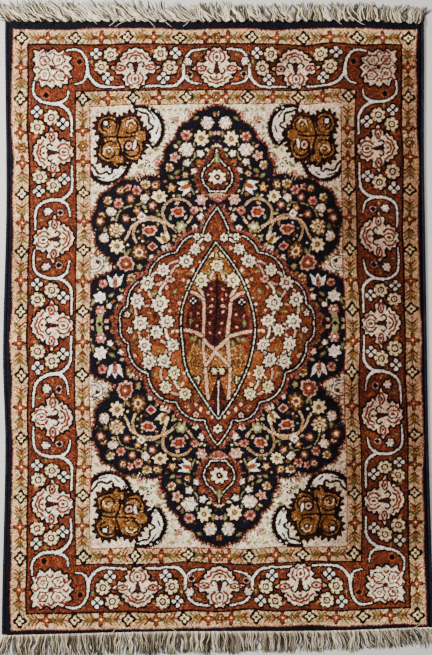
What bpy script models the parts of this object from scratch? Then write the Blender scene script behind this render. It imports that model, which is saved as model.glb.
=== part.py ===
"""Small hand-knotted Kashmir rug, lying flat, with a cut warp fringe at both ends.

Metres, +Z up. The origin is the middle of the underside. X runs across the rug, and
+Y runs along it to the far end, whose fringe leans to the left.
"""

import math

import bmesh
import bpy

# Driving dimensions of the rug
RUG_WIDTH = 0.630  # over both overcast sides
RUG_LENGTH = 0.909  # knotted part, without the fringes
PILE_THICKNESS = 0.0050  # cotton foundation and cut silk pile together
PILE_RIM_ROUND = 0.0012
SIDE_CORD_WIDTH = 0.0055
SIDE_CORD_HEIGHT = 0.0046
SIDE_CORD_FLAT = 0.30  # share of its width that lies on the floor
SIDE_CORD_BELLY = 0.30  # share of its height at which it is widest
SIDE_CORD_TURNS = (35.0, 62.0, 90.0, 118.0, 145.0)  # degrees round its upper half
END_WEAVE_DEPTH = 0.0040  # flat-woven strip between the pile and the fringe
END_WEAVE_HEIGHT = 0.0020
SEAT_GAP = 0.0003  # between pieces that touch

# How far each edge stands out from a straight line, as hand looms leave it: the few
# swings that show, in whole millimetres.
# Sides: share of the length from the far end, and metres outwards.
LEFT_WAVE = (
    {"share": 0.00, "out": 0.001},
    {"share": 0.30, "out": -0.002},
    {"share": 0.55, "out": 0.002},
    {"share": 0.70, "out": -0.002},
    {"share": 1.00, "out": 0.002},
)
RIGHT_WAVE = (
    {"share": 0.00, "out": 0.002},
    {"share": 0.25, "out": -0.001},
    {"share": 0.65, "out": -0.001},
    {"share": 1.00, "out": 0.002},
)
# Ends: share of the width from the left, and metres outwards.
FAR_WAVE = (
    {"share": 0.00, "out": -0.001},
    {"share": 0.50, "out": 0.000},
    {"share": 0.85, "out": 0.002},
    {"share": 1.00, "out": -0.002},
)
NEAR_WAVE = (
    {"share": 0.00, "out": 0.001},
    {"share": 0.35, "out": -0.001},
    {"share": 0.75, "out": 0.001},
    {"share": 1.00, "out": -0.002},
)

# Fringe: share of the width from the left, lean in degrees from straight out towards
# +X, and length in metres.
STRANDS = 150
STRAND_WIDTH = 0.0027
LEAN_SPREAD = 1.1  # degrees, from strand to strand
LENGTH_SPREAD = 0.06  # share of the length, from strand to strand
STRAND_BOW = 0.0005
FAR_FRINGE = (
    {"share": 0.00, "lean": -50.0, "length": 0.041},
    {"share": 0.12, "lean": -48.0, "length": 0.042},
    {"share": 0.30, "lean": -45.0, "length": 0.039},
    {"share": 0.40, "lean": -50.0, "length": 0.033},
    {"share": 0.48, "lean": -36.0, "length": 0.034},
    {"share": 0.60, "lean": -24.0, "length": 0.032},
    {"share": 0.78, "lean": -9.0, "length": 0.029},
    {"share": 0.92, "lean": 0.0, "length": 0.029},
    {"share": 0.97, "lean": 14.0, "length": 0.030},
    {"share": 1.00, "lean": 30.0, "length": 0.031},
)
NEAR_FRINGE = (
    {"share": 0.00, "lean": -16.0, "length": 0.036},
    {"share": 0.06, "lean": -5.0, "length": 0.036},
    {"share": 0.22, "lean": 2.0, "length": 0.035},
    {"share": 0.38, "lean": -3.0, "length": 0.034},
    {"share": 0.55, "lean": 3.0, "length": 0.034},
    {"share": 0.74, "lean": 8.0, "length": 0.033},
    {"share": 0.85, "lean": 20.0, "length": 0.032},
    {"share": 0.95, "lean": 27.0, "length": 0.032},
    {"share": 1.00, "lean": 32.0, "length": 0.032},
)
# Rings along one strand: share of its length, width and height as shares of the root's.
STRAND_RINGS = (
    {"along": 0.33, "wide": 1.00, "high": 0.95},
    {"along": 0.70, "wide": 0.92, "high": 0.80},
    {"along": 1.00, "wide": 0.50, "high": 0.45},
)

# Finish of each material: colour, roughness
YARNS = {
    "silk_pile": ((0.36, 0.13, 0.07, 1.0), 0.62),
    "navy_overcast": ((0.016, 0.016, 0.030, 1.0), 0.70),
    "cream_warp": ((0.66, 0.59, 0.46, 1.0), 0.85),
}

ACROSS_STEPS = 20  # along each end
ALONG_STEPS = 44  # along each side


def clear_scene():
    for obj in list(bpy.data.objects):
        bpy.data.objects.remove(obj, do_unlink=True)


def yarn(name):
    """A Principled material of that yarn."""
    colour, roughness = YARNS[name]
    material = bpy.data.materials.new(name)
    material.use_nodes = True
    shader = material.node_tree.nodes["Principled BSDF"]
    shader.inputs["Base Color"].default_value = colour
    shader.inputs["Roughness"].default_value = roughness
    shader.inputs["Metallic"].default_value = 0.0
    return material


def add_piece(name, shape, material, parent):
    """Turns a finished bmesh into a named object with one material."""
    bmesh.ops.recalc_face_normals(shape, faces=shape.faces)
    mesh = bpy.data.meshes.new(name)
    shape.to_mesh(mesh)
    shape.free()
    mesh.materials.append(material)
    piece = bpy.data.objects.new(name, mesh)
    bpy.context.scene.collection.objects.link(piece)
    piece.parent = parent
    return piece


def read_rows(rows, column, share):
    """The value of a column at that share, eased between the rows on either side."""
    share = min(max(share, 0.0), 1.0)
    for before, after in zip(rows, rows[1:]):
        if share <= after["share"]:
            part = (share - before["share"]) / (after["share"] - before["share"])
            eased = part * part * (3.0 - 2.0 * part)
            return before[column] + (after[column] - before[column]) * eased
    return rows[-1][column]


def wobble(index, seed):
    """A repeatable number from -1 to 1 for each strand."""
    value = math.sin(index * 12.9898 + seed * 78.233) * 43758.5453
    return 2.0 * (value - math.floor(value)) - 1.0


def side_x(side, inset, share):
    """X of a long edge, set in from the rug's side, at a share of the length from the far end."""
    rows = LEFT_WAVE if side < 0 else RIGHT_WAVE
    return side * (RUG_WIDTH / 2 - inset + read_rows(rows, "out", share))


def end_y(end, x):
    """Y of a knotted end at that x, where end is 1 for the far end and -1 for the near one.

    It runs straight between stations across the rug, so that all pieces meet on one line.
    """
    rows = FAR_WAVE if end > 0 else NEAR_WAVE
    place = (x / RUG_WIDTH + 0.5) * ACROSS_STEPS
    station = min(max(int(place), 0), ACROSS_STEPS - 1)
    before = read_rows(rows, "out", station / ACROSS_STEPS)
    after = read_rows(rows, "out", (station + 1) / ACROSS_STEPS)
    return end * (RUG_LENGTH / 2 + before + (after - before) * (place - station))


def along_y(x, share):
    """Y at a share of the length from the far end, in line with both uneven ends."""
    far, near = end_y(1, x), end_y(-1, x)
    return far + (near - far) * share


def pile_outline(inset):
    """The outline of the knotted part, clockwise from its far left corner."""
    stations = [RUG_WIDTH * (step / ACROSS_STEPS - 0.5) for step in range(1, ACROSS_STEPS)]
    shares = [step / ALONG_STEPS for step in range(ALONG_STEPS + 1)]
    left = [(side_x(-1, inset, share), share) for share in reversed(shares)]
    right = [(side_x(1, inset, share), share) for share in shares]
    far = [(x, 0.0) for x in stations]
    near = [(x, 1.0) for x in reversed(stations)]
    return [(x, along_y(x, share)) for x, share in far + right + near + left]


def make_pile(parent):
    """The knotted part: one flat slab with the rug's uneven outline and a rounded upper rim."""
    shape = bmesh.new()
    outline = pile_outline(SIDE_CORD_WIDTH + SEAT_GAP)
    base = shape.faces.new([shape.verts.new((x, y, 0.0)) for x, y in outline])
    raised = bmesh.ops.extrude_face_region(shape, geom=[base], use_keep_orig=True)["geom"]
    top = [item for item in raised if isinstance(item, bmesh.types.BMVert)]
    bmesh.ops.translate(shape, verts=top, vec=(0.0, 0.0, PILE_THICKNESS))
    rim = [edge for edge in shape.edges if all(vert.co.z > 0.0 for vert in edge.verts)]
    bmesh.ops.bevel(
        shape,
        geom=rim,
        offset=PILE_RIM_ROUND,
        segments=2,
        profile=0.5,
        affect="EDGES",
        clamp_overlap=True,
    )
    return add_piece("knotted_pile", shape, yarn("silk_pile"), parent)


def cord_section():
    """Outline of an overcast side, as distance out from the pile and height, flat underneath."""
    wide = SIDE_CORD_WIDTH
    low = SIDE_CORD_HEIGHT * SIDE_CORD_BELLY
    points = [
        (wide * (1.0 - SIDE_CORD_FLAT) / 2, 0.0),
        (wide * (1.0 + SIDE_CORD_FLAT) / 2, 0.0),
        (wide, low),
    ]
    for turn in SIDE_CORD_TURNS:
        angle = math.radians(turn)
        out = wide * (1.0 + math.cos(angle)) / 2
        points.append((out, low + (SIDE_CORD_HEIGHT - low) * math.sin(angle)))
    points.append((0.0, low))
    return points


def make_side_cord(name, side, parent):
    """The bundle of outer warps along a long side, wrapped all the way in navy yarn."""
    section = cord_section()
    shape = bmesh.new()
    rings = []
    for step in range(ALONG_STEPS + 1):
        share = step / ALONG_STEPS
        inner = side_x(side, SIDE_CORD_WIDTH, share)
        ring = [(inner + side * out, high) for out, high in section]
        rings.append([shape.verts.new((x, along_y(x, share), high)) for x, high in ring])
    for ring, after in zip(rings, rings[1:]):
        for corner in range(len(section)):
            beyond = (corner + 1) % len(section)
            shape.faces.new((ring[corner], ring[beyond], after[beyond], after[corner]))
    shape.faces.new(rings[0])
    shape.faces.new(list(reversed(rings[-1])))
    return add_piece(name, shape, yarn("navy_overcast"), parent)


def make_strand(shape, root, end, lean, length, index, seed):
    """Grows one strand out of its root in the end weave and closes its tip.

    Each ring has two corners on the floor and one above them.
    """
    ring = root
    centre, edge = root[2].co.x, root[2].co.y
    angle = math.radians(lean + LEAN_SPREAD * wobble(index, seed))
    reach = length * (1.0 + LENGTH_SPREAD * wobble(index, seed + 1.0))
    bow = STRAND_BOW * wobble(index, seed + 2.0)
    for row in STRAND_RINGS:
        along = reach * row["along"]
        x = centre + along * math.sin(angle) + bow * math.sin(math.pi * row["along"])
        y = edge + end * along * math.cos(angle)
        half = STRAND_WIDTH * row["wide"] / 2
        after = [
            shape.verts.new((x - half, y, 0.0)),
            shape.verts.new((x + half, y, 0.0)),
            shape.verts.new((x, y, END_WEAVE_HEIGHT * row["high"])),
        ]
        for corner in range(3):
            beyond = (corner + 1) % 3
            shape.faces.new((ring[corner], ring[beyond], after[beyond], after[corner]))
        ring = after
    shape.faces.new(ring)


def make_fringe(name, end, rows, seed, parent):
    """A flat-woven strip along one end, and the cut warps that leave it as separate strands."""
    shape = bmesh.new()
    pitch = RUG_WIDTH / STRANDS
    places = [-RUG_WIDTH / 2]
    places += [(index + 0.5) * pitch - RUG_WIDTH / 2 for index in range(STRANDS)]
    places += [RUG_WIDTH / 2]
    inner = []  # low and high corner beside the pile, at each place
    outer = []  # high corner on the outer edge, at each place
    for centre in places:
        edge = end_y(end, centre) + end * SEAT_GAP
        low = shape.verts.new((centre, edge, 0.0))
        high = shape.verts.new((centre, edge, END_WEAVE_HEIGHT))
        inner.append((low, high))
        outer.append(shape.verts.new((centre, edge + end * END_WEAVE_DEPTH, END_WEAVE_HEIGHT)))
    roots = []
    for corner in outer[1:-1]:
        x, y, _ = corner.co
        low_left = shape.verts.new((x - STRAND_WIDTH / 2, y, 0.0))
        low_right = shape.verts.new((x + STRAND_WIDTH / 2, y, 0.0))
        roots.append((low_left, low_right, corner))
    left_end = shape.verts.new((outer[0].co.x, outer[0].co.y, 0.0))
    right_end = shape.verts.new((outer[-1].co.x, outer[-1].co.y, 0.0))
    for column in range(STRANDS + 1):
        low_left = roots[column - 1][1] if column > 0 else left_end
        low_right = roots[column][0] if column < STRANDS else right_end
        here, there = inner[column], inner[column + 1]
        shape.faces.new((here[1], there[1], outer[column + 1], outer[column]))
        shape.faces.new((here[0], there[0], there[1], here[1]))
        shape.faces.new((outer[column], outer[column + 1], low_right, low_left))
        shape.faces.new((low_left, low_right, there[0], here[0]))
    for root, (low, _) in zip(roots, inner[1:-1]):
        shape.faces.new((root[0], root[1], low))
    shape.faces.new((inner[0][0], inner[0][1], outer[0], left_end))
    shape.faces.new((inner[-1][0], inner[-1][1], outer[-1], right_end))
    for index, root in enumerate(roots):
        share = (index + 0.5) / STRANDS
        lean = read_rows(rows, "lean", share)
        length = read_rows(rows, "length", share)
        make_strand(shape, root, end, lean, length, index, seed)
    return add_piece(name, shape, yarn("cream_warp"), parent)


def build_rug():
    clear_scene()
    rug = bpy.data.objects.new("rug", None)
    bpy.context.scene.collection.objects.link(rug)
    make_pile(rug)
    make_side_cord("side_cord_left", -1, rug)
    make_side_cord("side_cord_right", 1, rug)
    make_fringe("fringe_far", 1, FAR_FRINGE, 3.0, rug)
    make_fringe("fringe_near", -1, NEAR_FRINGE, 8.0, rug)


build_rug()
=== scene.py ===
import math

import bpy
import numpy as np
from mathutils import Matrix, Vector
from mathutils.geometry import tessellate_polygon


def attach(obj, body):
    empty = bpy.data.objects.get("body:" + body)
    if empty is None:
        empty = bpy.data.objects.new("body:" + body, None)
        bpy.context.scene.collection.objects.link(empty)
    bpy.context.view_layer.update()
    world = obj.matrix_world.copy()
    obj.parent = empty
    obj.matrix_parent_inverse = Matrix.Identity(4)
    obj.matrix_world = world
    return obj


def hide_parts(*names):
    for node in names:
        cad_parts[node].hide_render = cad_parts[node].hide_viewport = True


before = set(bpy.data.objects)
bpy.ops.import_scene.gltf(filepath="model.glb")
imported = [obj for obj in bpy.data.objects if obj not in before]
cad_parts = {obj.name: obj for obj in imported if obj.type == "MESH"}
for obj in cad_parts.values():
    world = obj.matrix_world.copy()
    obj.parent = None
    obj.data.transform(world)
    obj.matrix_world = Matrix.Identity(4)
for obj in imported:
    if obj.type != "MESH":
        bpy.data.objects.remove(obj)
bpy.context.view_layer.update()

bpy.ops.object.select_all(action="DESELECT")

# Camera: nearly straight above the rug, a little towards its near end, as in the photo
cameraLook = {
    "focalPixels": 760.0,
    "longSidePixels": 655.0,
    "sensor": 36.0,
    "place": (-0.0265, -0.0496, 1.1314),
    "turns": (2.05, -1.26, -0.28),  # degrees about X, Y and Z
}


def addCamera(look):
    data = bpy.data.cameras.new("lookDown")
    data.sensor_width = look["sensor"]
    data.lens = look["focalPixels"] / look["longSidePixels"] * look["sensor"]
    camera = bpy.data.objects.new("lookDown", data)
    bpy.context.collection.objects.link(camera)
    matrix = Matrix.Translation(look["place"])
    for axis, degrees in zip("XYZ", look["turns"]):
        matrix = matrix @ Matrix.Rotation(math.radians(degrees), 4, axis)
    camera.matrix_world = matrix
    bpy.context.scene.camera = camera


addCamera(cameraLook)
print("stage: camera")

# The rug's edges, read from the knotted solid's underside in the frame
edgeSteps = {"floorBand": 0.0002, "corner": 0.012, "side": 0.29, "end": 0.44}


def readEdges(steps):
    points = np.array([tuple(v.co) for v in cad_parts["knotted_pile"].data.vertices])
    rim = points[points[:, 2] < steps["floorBand"]]
    top, bottom = rim[:, 1].max(), rim[:, 1].min()
    edges = {"top": top, "bottom": bottom}
    middle = rim[(rim[:, 1] < top - steps["corner"]) & (rim[:, 1] > bottom + steps["corner"])]
    for name, sign in (("left", -1), ("right", 1)):
        side = middle[middle[:, 0] * sign > steps["side"]]
        side = side[np.argsort(side[:, 1])]
        edges[name] = (side[:, 1], side[:, 0])
    for name, sign in (("far", 1), ("near", -1)):
        end = rim[rim[:, 1] * sign > steps["end"]]
        end = end[np.argsort(end[:, 0])]
        edges[name] = (end[:, 0], end[:, 1])
    return edges


edges = readEdges(edgeSteps)
print("stage: edges", len(edges["left"][0]), len(edges["far"][0]))


def edgeAt(name, where):
    # a side's x at a y, or an end's y at an x
    return np.interp(where, *edges[name])


# Dyed yarns: sRGB, 0 to 255
yarns = {
    "navy": (16, 15, 24),
    "black": (6, 5, 7),
    "ivory": (240, 219, 188),
    "sand": (202, 164, 116),
    "cream": (236, 214, 160),
    "white": (246, 236, 218),
    "rust": (98, 43, 27),
    "orange": (142, 70, 36),
    "maroon": (50, 18, 17),
    "red": (112, 36, 28),
    "rose": (138, 72, 58),
    "pink": (206, 152, 130),
    "gold": (130, 84, 36),
    "brown": (76, 42, 22),
    "olive": (88, 80, 42),
    "leaf": (138, 134, 86),
    "line": (16, 8, 8),
}
yarnNumber = {name: number for number, name in enumerate(yarns)}

# Chart of the pattern, in knots from the design's middle
chart = {
    "knot": 0.0015,
    "fine": 2,  # steps of the drawing in a knot
    "halfAcross": 214,
    "halfAlong": 314,
    "fieldAcross": 125.5,
    "fieldAlong": 219.5,
    "shift": (0.4, -2.4),  # the design's middle, in knots from the rug's
    "wander": 0.9,  # knots that the hand work strays
}
halfWide = chart["halfAcross"] * chart["fine"]
halfTall = chart["halfAlong"] * chart["fine"]
chartX = (np.arange(-halfWide, halfWide) + 0.5) / chart["fine"]
chartY = (np.arange(-halfTall, halfTall) + 0.5) / chart["fine"]
picture = np.zeros((len(chartY), len(chartX)), np.uint8)


def nearby(x, y, reach):
    # the drawing round a place, as a view that can be painted, and its distances from it
    fine = chart["fine"]
    left = max(0, int((x - reach) * fine) + halfWide - 1)
    right = max(0, int((x + reach) * fine) + halfWide + 2)
    low = max(0, int((y - reach) * fine) + halfTall - 1)
    high = max(0, int((y + reach) * fine) + halfTall + 2)
    across, along = np.meshgrid(chartX[left:right] - x, chartY[low:high] - y)
    return picture[low:high, left:right], across, along


def turned(across, along, degrees):
    c, s = math.cos(math.radians(degrees)), math.sin(math.radians(degrees))
    return across * c + along * s, along * c - across * s


def around(x, y, reach, degrees):
    # a place at a distance and a turn from another
    a = math.radians(degrees)
    return x + reach * math.cos(a), y + reach * math.sin(a)


def arc(x, y, radius, first, sweep, count):
    return [around(x, y, radius, first + sweep * k / (count - 1)) for k in range(count)]


def dot(x, y, wide, yarn, tall=None):
    tall = wide if tall is None else tall
    knots, across, along = nearby(x, y, max(wide, tall) / 2 + 1)
    knots[(across * 2 / wide) ** 2 + (along * 2 / tall) ** 2 <= 1] = yarnNumber[yarn]


# How unevenly a round shape is knotted: its swell twice and three times round
swell = {"twice": 0.06, "thrice": 0.05}


def bloom(x, y, size, yarn, petals, notch, turn=0, squeeze=1.0):
    knots, across, along = nearby(x, y, size / 2 + 1)
    u, v = turned(across, along, turn)
    v = v / squeeze
    way = np.arctan2(v, u)
    uneven = 1 + swell["twice"] * np.sin(2 * way + x) + swell["thrice"] * np.sin(3 * way + y)
    edge = size / 2 * (1 - notch + notch * np.cos(petals * way)) * uneven
    knots[np.hypot(u, v) <= edge] = yarnNumber[yarn]


def layered(x, y, layers, turn=0):
    # round layers over each other: size and yarn, and petals with their notch where it has them
    for size, yarn, *petals in layers:
        if petals:
            bloom(x, y, size, yarn, *petals, turn)
        else:
            dot(x, y, size, yarn)


def leaf(x, y, long, wide, yarn, turn):
    knots, across, along = nearby(x, y, long / 2 + 1)
    u, v = turned(across, along, turn)
    inside = np.abs(v) <= wide / 2 * (1 - np.minimum(1, np.abs(u) * 2 / long) ** 2)
    knots[inside & (np.abs(u) <= long / 2)] = yarnNumber[yarn]


def diamond(x, y, wide, tall, yarn):
    knots, across, along = nearby(x, y, max(wide, tall) / 2 + 1)
    knots[np.abs(across) * 2 / wide + np.abs(along) * 2 / tall <= 1] = yarnNumber[yarn]


def smooth(route, step=0.45):
    # evenly close points on a smooth curve through the route's own
    points = [np.array(p, float) for p in route]
    points = [2 * points[0] - points[1]] + points + [2 * points[-1] - points[-2]]
    out = []
    for a, b, c, d in zip(points, points[1:], points[2:], points[3:]):
        count = max(2, int(np.hypot(*(c - b)) / step))
        for t in np.arange(count) / count:
            out.append(
                b + 0.5 * t * (c - a + t * (2 * a - 5 * b + 4 * c - d + t * (3 * (b - c) + d - a)))
            )
    return out + [points[-2]]


def stroke(route, width, yarn):
    for x, y in smooth(route):
        dot(x, y, width, yarn)


def taper(route, first, last, yarn):
    # a stroke whose width runs from first to last
    points = smooth(route)
    for k, (x, y) in enumerate(points):
        dot(x, y, first + (last - first) * k / len(points), yarn)


# White stems: how much wider their dark outline is, and the share of the width that is white
vineLook = {"outline": 2.6, "white": 0.8}


def vines(routes):
    # each is a route with its first and last width
    for route, first, last in routes:
        taper(route, first + vineLook["outline"], last + vineLook["outline"], "line")
    for route, first, last in routes:
        taper(route, first * vineLook["white"], last * vineLook["white"], "white")


def patch(outline, yarn):
    xs, ys = np.array(outline, float).T
    x, y = (xs.min() + xs.max()) / 2, (ys.min() + ys.max()) / 2
    knots, across, along = nearby(x, y, max(np.ptp(xs), np.ptp(ys)) / 2 + 1)
    inside = np.zeros(across.shape, bool)
    for x0, y0, x1, y1 in zip(xs - x, ys - y, np.roll(xs, -1) - x, np.roll(ys, -1) - y):
        if y0 != y1:
            crosses = (along >= min(y0, y1)) & (along < max(y0, y1))
            inside ^= crosses & (across < x0 + (along - y0) * (x1 - x0) / (y1 - y0))
    knots[inside] = yarnNumber[yarn]


def scallops(cusps, steps=7):
    # arcs from cusp to cusp, each bowed to the left of its way by its own share
    out = []
    for (x0, y0, bulge), (x1, y1, _) in zip(cusps, cusps[1:]):
        for k in range(steps):
            t = k / steps
            bow = 4 * bulge * t * (1 - t)
            out.append((x0 + (x1 - x0) * t + (y1 - y0) * bow, y0 + (y1 - y0) * t - (x1 - x0) * bow))
    return out + [cusps[-1][:2]]


def outlined(outline, yarn, width=4.2):
    # a patch in a dark outline
    for a, b in zip(outline, outline[1:] + outline[:1]):
        stroke([a, b], width, "line")
    patch(outline, yarn)


def drawAll(marks):
    # each mark is a shape with its place, sizes and yarns
    for shape, *sizes in marks:
        shape(*sizes)


# Flowers of the field and borders: rim, petals, ring, heart
blooms = {
    "white": ("navy", "white", "pink", "white"),
    "cream": ("navy", "cream", "gold", "olive"),
    "pink": ("navy", "pink", "rose", "red"),
    "gold": ("navy", "gold", "cream", "red"),
    "orange": ("navy", "orange", "pink", "cream"),
    "mint": ("navy", "leaf", "cream", "white"),
    "red": ("pink", "red", "orange", "white"),
    "star": ("line", "ivory", "maroon", "ivory"),
    "sun": ("line", "cream", "brown", "cream"),
    "blush": ("line", "pink", "red", "white"),
}
petalShades = {"white": "sand", "cream": "gold", "pink": "rose"}
# Round flowers; the ring, eye and heart are shares of the flower, shown from a size on
flowerLook = {
    "rim": 3.6,
    "shade": 0.9,
    "shift": 0.5,
    "ring": 0.54,
    "ringFrom": 8,
    "gapsFrom": 9,
    "eye": 0.32,
    "heart": 0.2,
    "heartFrom": 12,
}
# Pointed stars; all but the rim are shares of the star
starLook = {
    "rim": 3.2,
    "wide": 0.27,
    "wideOfFew": 0.34,
    "long": 0.50,
    "out": 0.32,
    "uneven": 0.04,
    "middle": 0.54,
    "ring": 0.43,
    "heart": 0.25,
    "heartFrom": 9,
    "smallRing": 0.34,
}


def spokes(x, y, size, petals, yarn, turn):
    # dark gaps between petals
    for k in range(petals):
        way = turn + 360 * (k + 0.5) / petals
        stroke([around(x, y, size * 0.24, way), around(x, y, size * 0.48, way)], 1.0, yarn)


def flower(x, y, size, kind, petals, turn=0):
    rim, petal, ring, heart = blooms[kind]
    shade = petalShades.get(petal, "brown")
    shift = flowerLook["shift"]
    bloom(x, y, size + flowerLook["rim"], rim, petals, 0.08, turn)
    bloom(x, y, size, shade, petals, 0.16, turn)
    bloom(x + shift, y + shift, size - flowerLook["shade"], petal, petals, 0.20, turn)
    if size >= flowerLook["gapsFrom"]:
        spokes(x, y, size, petals, shade, turn)
    if size >= flowerLook["ringFrom"]:
        bloom(x, y, size * flowerLook["ring"], ring, petals, 0.10, turn)
        eye = max(2.2, size * flowerLook["eye"])
        dot(x, y, eye, petal if size >= flowerLook["heartFrom"] else heart)
    if size >= flowerLook["heartFrom"]:
        dot(x, y, size * flowerLook["heart"], heart)


def tulip(x, y, size, cup, lip, turn):
    # a cup with three points, opening the way it is turned
    c, s = math.cos(math.radians(turn)), math.sin(math.radians(turn))

    def put(u, v):
        return x + u * c - v * s, y + u * s + v * c

    h = size / 2
    outline = [(-h * 0.6, 0), (-h * 0.3, -h * 0.7), (h, -h), (h * 0.45, -h * 0.35), (h * 1.15, 0)]
    outline += [(u, -v) for u, v in reversed(outline[1:4])]
    patch([put(u * 1.25, v * 1.25) for u, v in outline], "navy")
    patch([put(u, v) for u, v in outline], cup)
    leaf(x, y, size * 0.8, size * 0.34, lip, turn)


def sprig(x, y, size, turn, yarn="olive"):
    leaf(x, y, size, size * 0.5, yarn, turn)
    leaf(x, y, size * 0.6, size * 0.18, "leaf", turn)


def star(x, y, size, kind, petals):
    # separate pointed petals round a ringed heart
    _, petal, ring, heart = blooms[kind]
    first = (x * 7 + y * 13) % 45
    wide = size * (starLook["wide"] if petals > 6 else starLook["wideOfFew"])
    for grow, yarn in ((starLook["rim"], "line"), (0, petal)):
        for k in range(petals):
            turn = first + 360 * k / petals
            reach = size * (starLook["out"] + starLook["uneven"] * math.sin(x + 5 * k))
            leaf(*around(x, y, reach, turn), size * starLook["long"] + grow, wide + grow, yarn, turn)
    dot(x, y, size * starLook["middle"], petal)
    if size >= starLook["heartFrom"]:
        dot(x, y, size * starLook["ring"], ring)
        dot(x, y, size * starLook["heart"], heart)
        dot(x, y, 1.1, "sand")
    else:
        dot(x, y, size * starLook["smallRing"], ring)


def strayGrid(area, gap, draw):
    # places in rows over an area, each up to a knot out of line
    x0, x1, y0, y1 = area
    for row in np.arange(y0, y1, gap):
        for column in np.arange(x0, x1, gap):
            yield column + draw.uniform(-1, 1), row + draw.uniform(-1, 1)


def scatter(ground, area, gap, yarnList, seed, share=1.0):
    # small leaves, buds and dots where the ground is still bare
    draw = np.random.default_rng(seed)
    for x, y in strayGrid(area, gap, draw):
        kind, turn, pick = draw.integers(4), draw.uniform(0, 180), draw.integers(len(yarnList))
        knots = nearby(x, y, 1.6)[0]
        if draw.random() > share or (knots != yarnNumber[ground]).any():
            continue
        yarn = yarnList[pick]
        if kind == 0:
            bloom(x, y, 4.6, yarn, 4, 0.2, turn)
        elif kind == 1:
            dot(x, y, 2.4, yarn)
        else:
            leaf(x, y, 5.4, 2.6, yarn, turn)


def fillBare(ground, area, gap, kinds, seed, size):
    # small flowers wherever a round of ground is still bare
    draw = np.random.default_rng(seed)
    for x, y in strayGrid(area, gap, draw):
        pick, grow = draw.integers(len(kinds)), draw.uniform(0, 2)
        if (nearby(x, y, size * 0.6)[0] == yarnNumber[ground]).all():
            flower(x, y, size + grow, kinds[pick], 5 + pick % 2, 40 * pick)


# Main border: where its cells' middles lie, which way they open, and their half length and reach
border = {
    "palmette": 37.0,
    "sideCells": (("inner", 0.0), ("outer", 86.0), ("inner", 175.0)),
    "endCells": (("outer", 0.0), ("inner", -80.0)),
    "sideHalf": 40.0,
    "sideReach": 75,
    "endHalf": 32.5,
    "endReach": 71,
}


def onSide(s, t):
    return -(chart["fieldAcross"] + t), s


def onEnd(s, t):
    return s, chart["fieldAlong"] + t


# A palmette with a dome, two pointed side petals and a foot, as offsets of its right half
palmetteShape = {
    "outline": (
        (0, 20), (4, 18), (6.5, 18.5), (8.5, 15), (12, 14.5), (12, 11), (15.5, 9.5), (12, 5.5),
        (17, 5.5), (19, 2.5), (24.5, 0.5), (19.5, -2), (18.5, -5.5), (13, -4.5), (9.5, -7),
        (12.5, -10.5), (9.5, -12.5), (9.5, -16.5), (5.5, -16.5), (3.5, -20), (0, -18.5),
    ),
    "veins": (
        ("red", (0, 16.5), (4, 14.6), (7.5, 13.6), (9, 10.5), (12, 8.5)),
        ("rust", (0, 13), (4, 11.6), (6.5, 8.5)),
        ("red", (10.5, 1.5), (15, 3), (20.5, 0.5), (15, -2.5), (10.5, -0.5)),
        ("red", (4.5, -5), (8, -9), (7, -14), (3, -17)),
    ),
    "veinWide": 2.2,
    "petalHeart": (14.8, 0.3),
    "stamen": ((1.5, -1), (2.4, 4), (5.5, 6), (8.5, 3.2), (6.8, 0.8)),
    "footHeart": (0, -10.5),
    "footLayers": ((9.0, 11.0, "maroon"), (6.2, 8.2, "ivory"), (3.2, 4.4, "red")),
}


def palmette(put, s, fan):
    # fan is 1 where it opens outwards and -1 where it opens towards the field
    def at(u, v):
        return put(s + u, border["palmette"] + v * fan)

    half = palmetteShape["outline"]
    outline = half + tuple((-u, v) for u, v in reversed(half[1:-1]))
    outlined([at(u, v) for u, v in outline], "ivory")
    turn = 0 if put is onEnd else 90
    for side in (-1, 1):
        for yarn, *route in palmetteShape["veins"]:
            stroke([at(side * u, v) for u, v in route], palmetteShape["veinWide"], yarn)
        u, v = palmetteShape["petalHeart"]
        leaf(*at(side * u, v), 4.8, 2.4, "maroon", turn)
        stroke([at(side * u, v) for u, v in palmetteShape["stamen"]], 1.9, "black")
    dot(*at(0, 9.5), 3.2, "rust")
    stroke([at(0, 5), at(0, -3)], 4.2, "maroon")
    for wide, long, yarn in palmetteShape["footLayers"]:
        across, along = (wide, long) if put is onEnd else (long, wide)
        dot(*at(*palmetteShape["footHeart"]), across, yarn, along)


rosetteLook = {"size": 14.2, "petals": 7, "outline": 4.4, "petalOut": 0.33, "petalWide": 0.34, "gapOut": 0.44}
quatrefoilLook = {"size": 10.5, "outline": 4.6, "petalOut": 0.34, "petalWide": 0.40, "gapOut": 0.44}


def rosette(x, y):
    size, petals = rosetteLook["size"], rosetteLook["petals"]
    bloom(x, y, size + rosetteLook["outline"], "line", petals, 0.06)
    for k in range(petals):
        place = around(x, y, size * rosetteLook["petalOut"], 360 * k / petals)
        dot(*place, size * rosetteLook["petalWide"], "cream")
    dot(x, y, size * 0.6, "cream")
    for k in range(petals):
        dot(*around(x, y, size * rosetteLook["gapOut"], 360 * (k + 0.5) / petals), 2.2, "brown")
    layered(x, y, ((7.4, "maroon"), (4.0, "ivory"), (1.8, "rose")))


def quatrefoil(x, y):
    size = quatrefoilLook["size"]
    bloom(x, y, size + quatrefoilLook["outline"], "line", 4, 0.14)
    for k in range(4):
        place = around(x, y, size * quatrefoilLook["petalOut"], 90 * k)
        layered(*place, ((size * quatrefoilLook["petalWide"], "white"), (1.2, "sand")))
    reach = size * quatrefoilLook["gapOut"]
    for turn in (45, 135):
        stroke([around(x, y, -reach, turn), around(x, y, reach, turn)], 1.5, "line")


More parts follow.
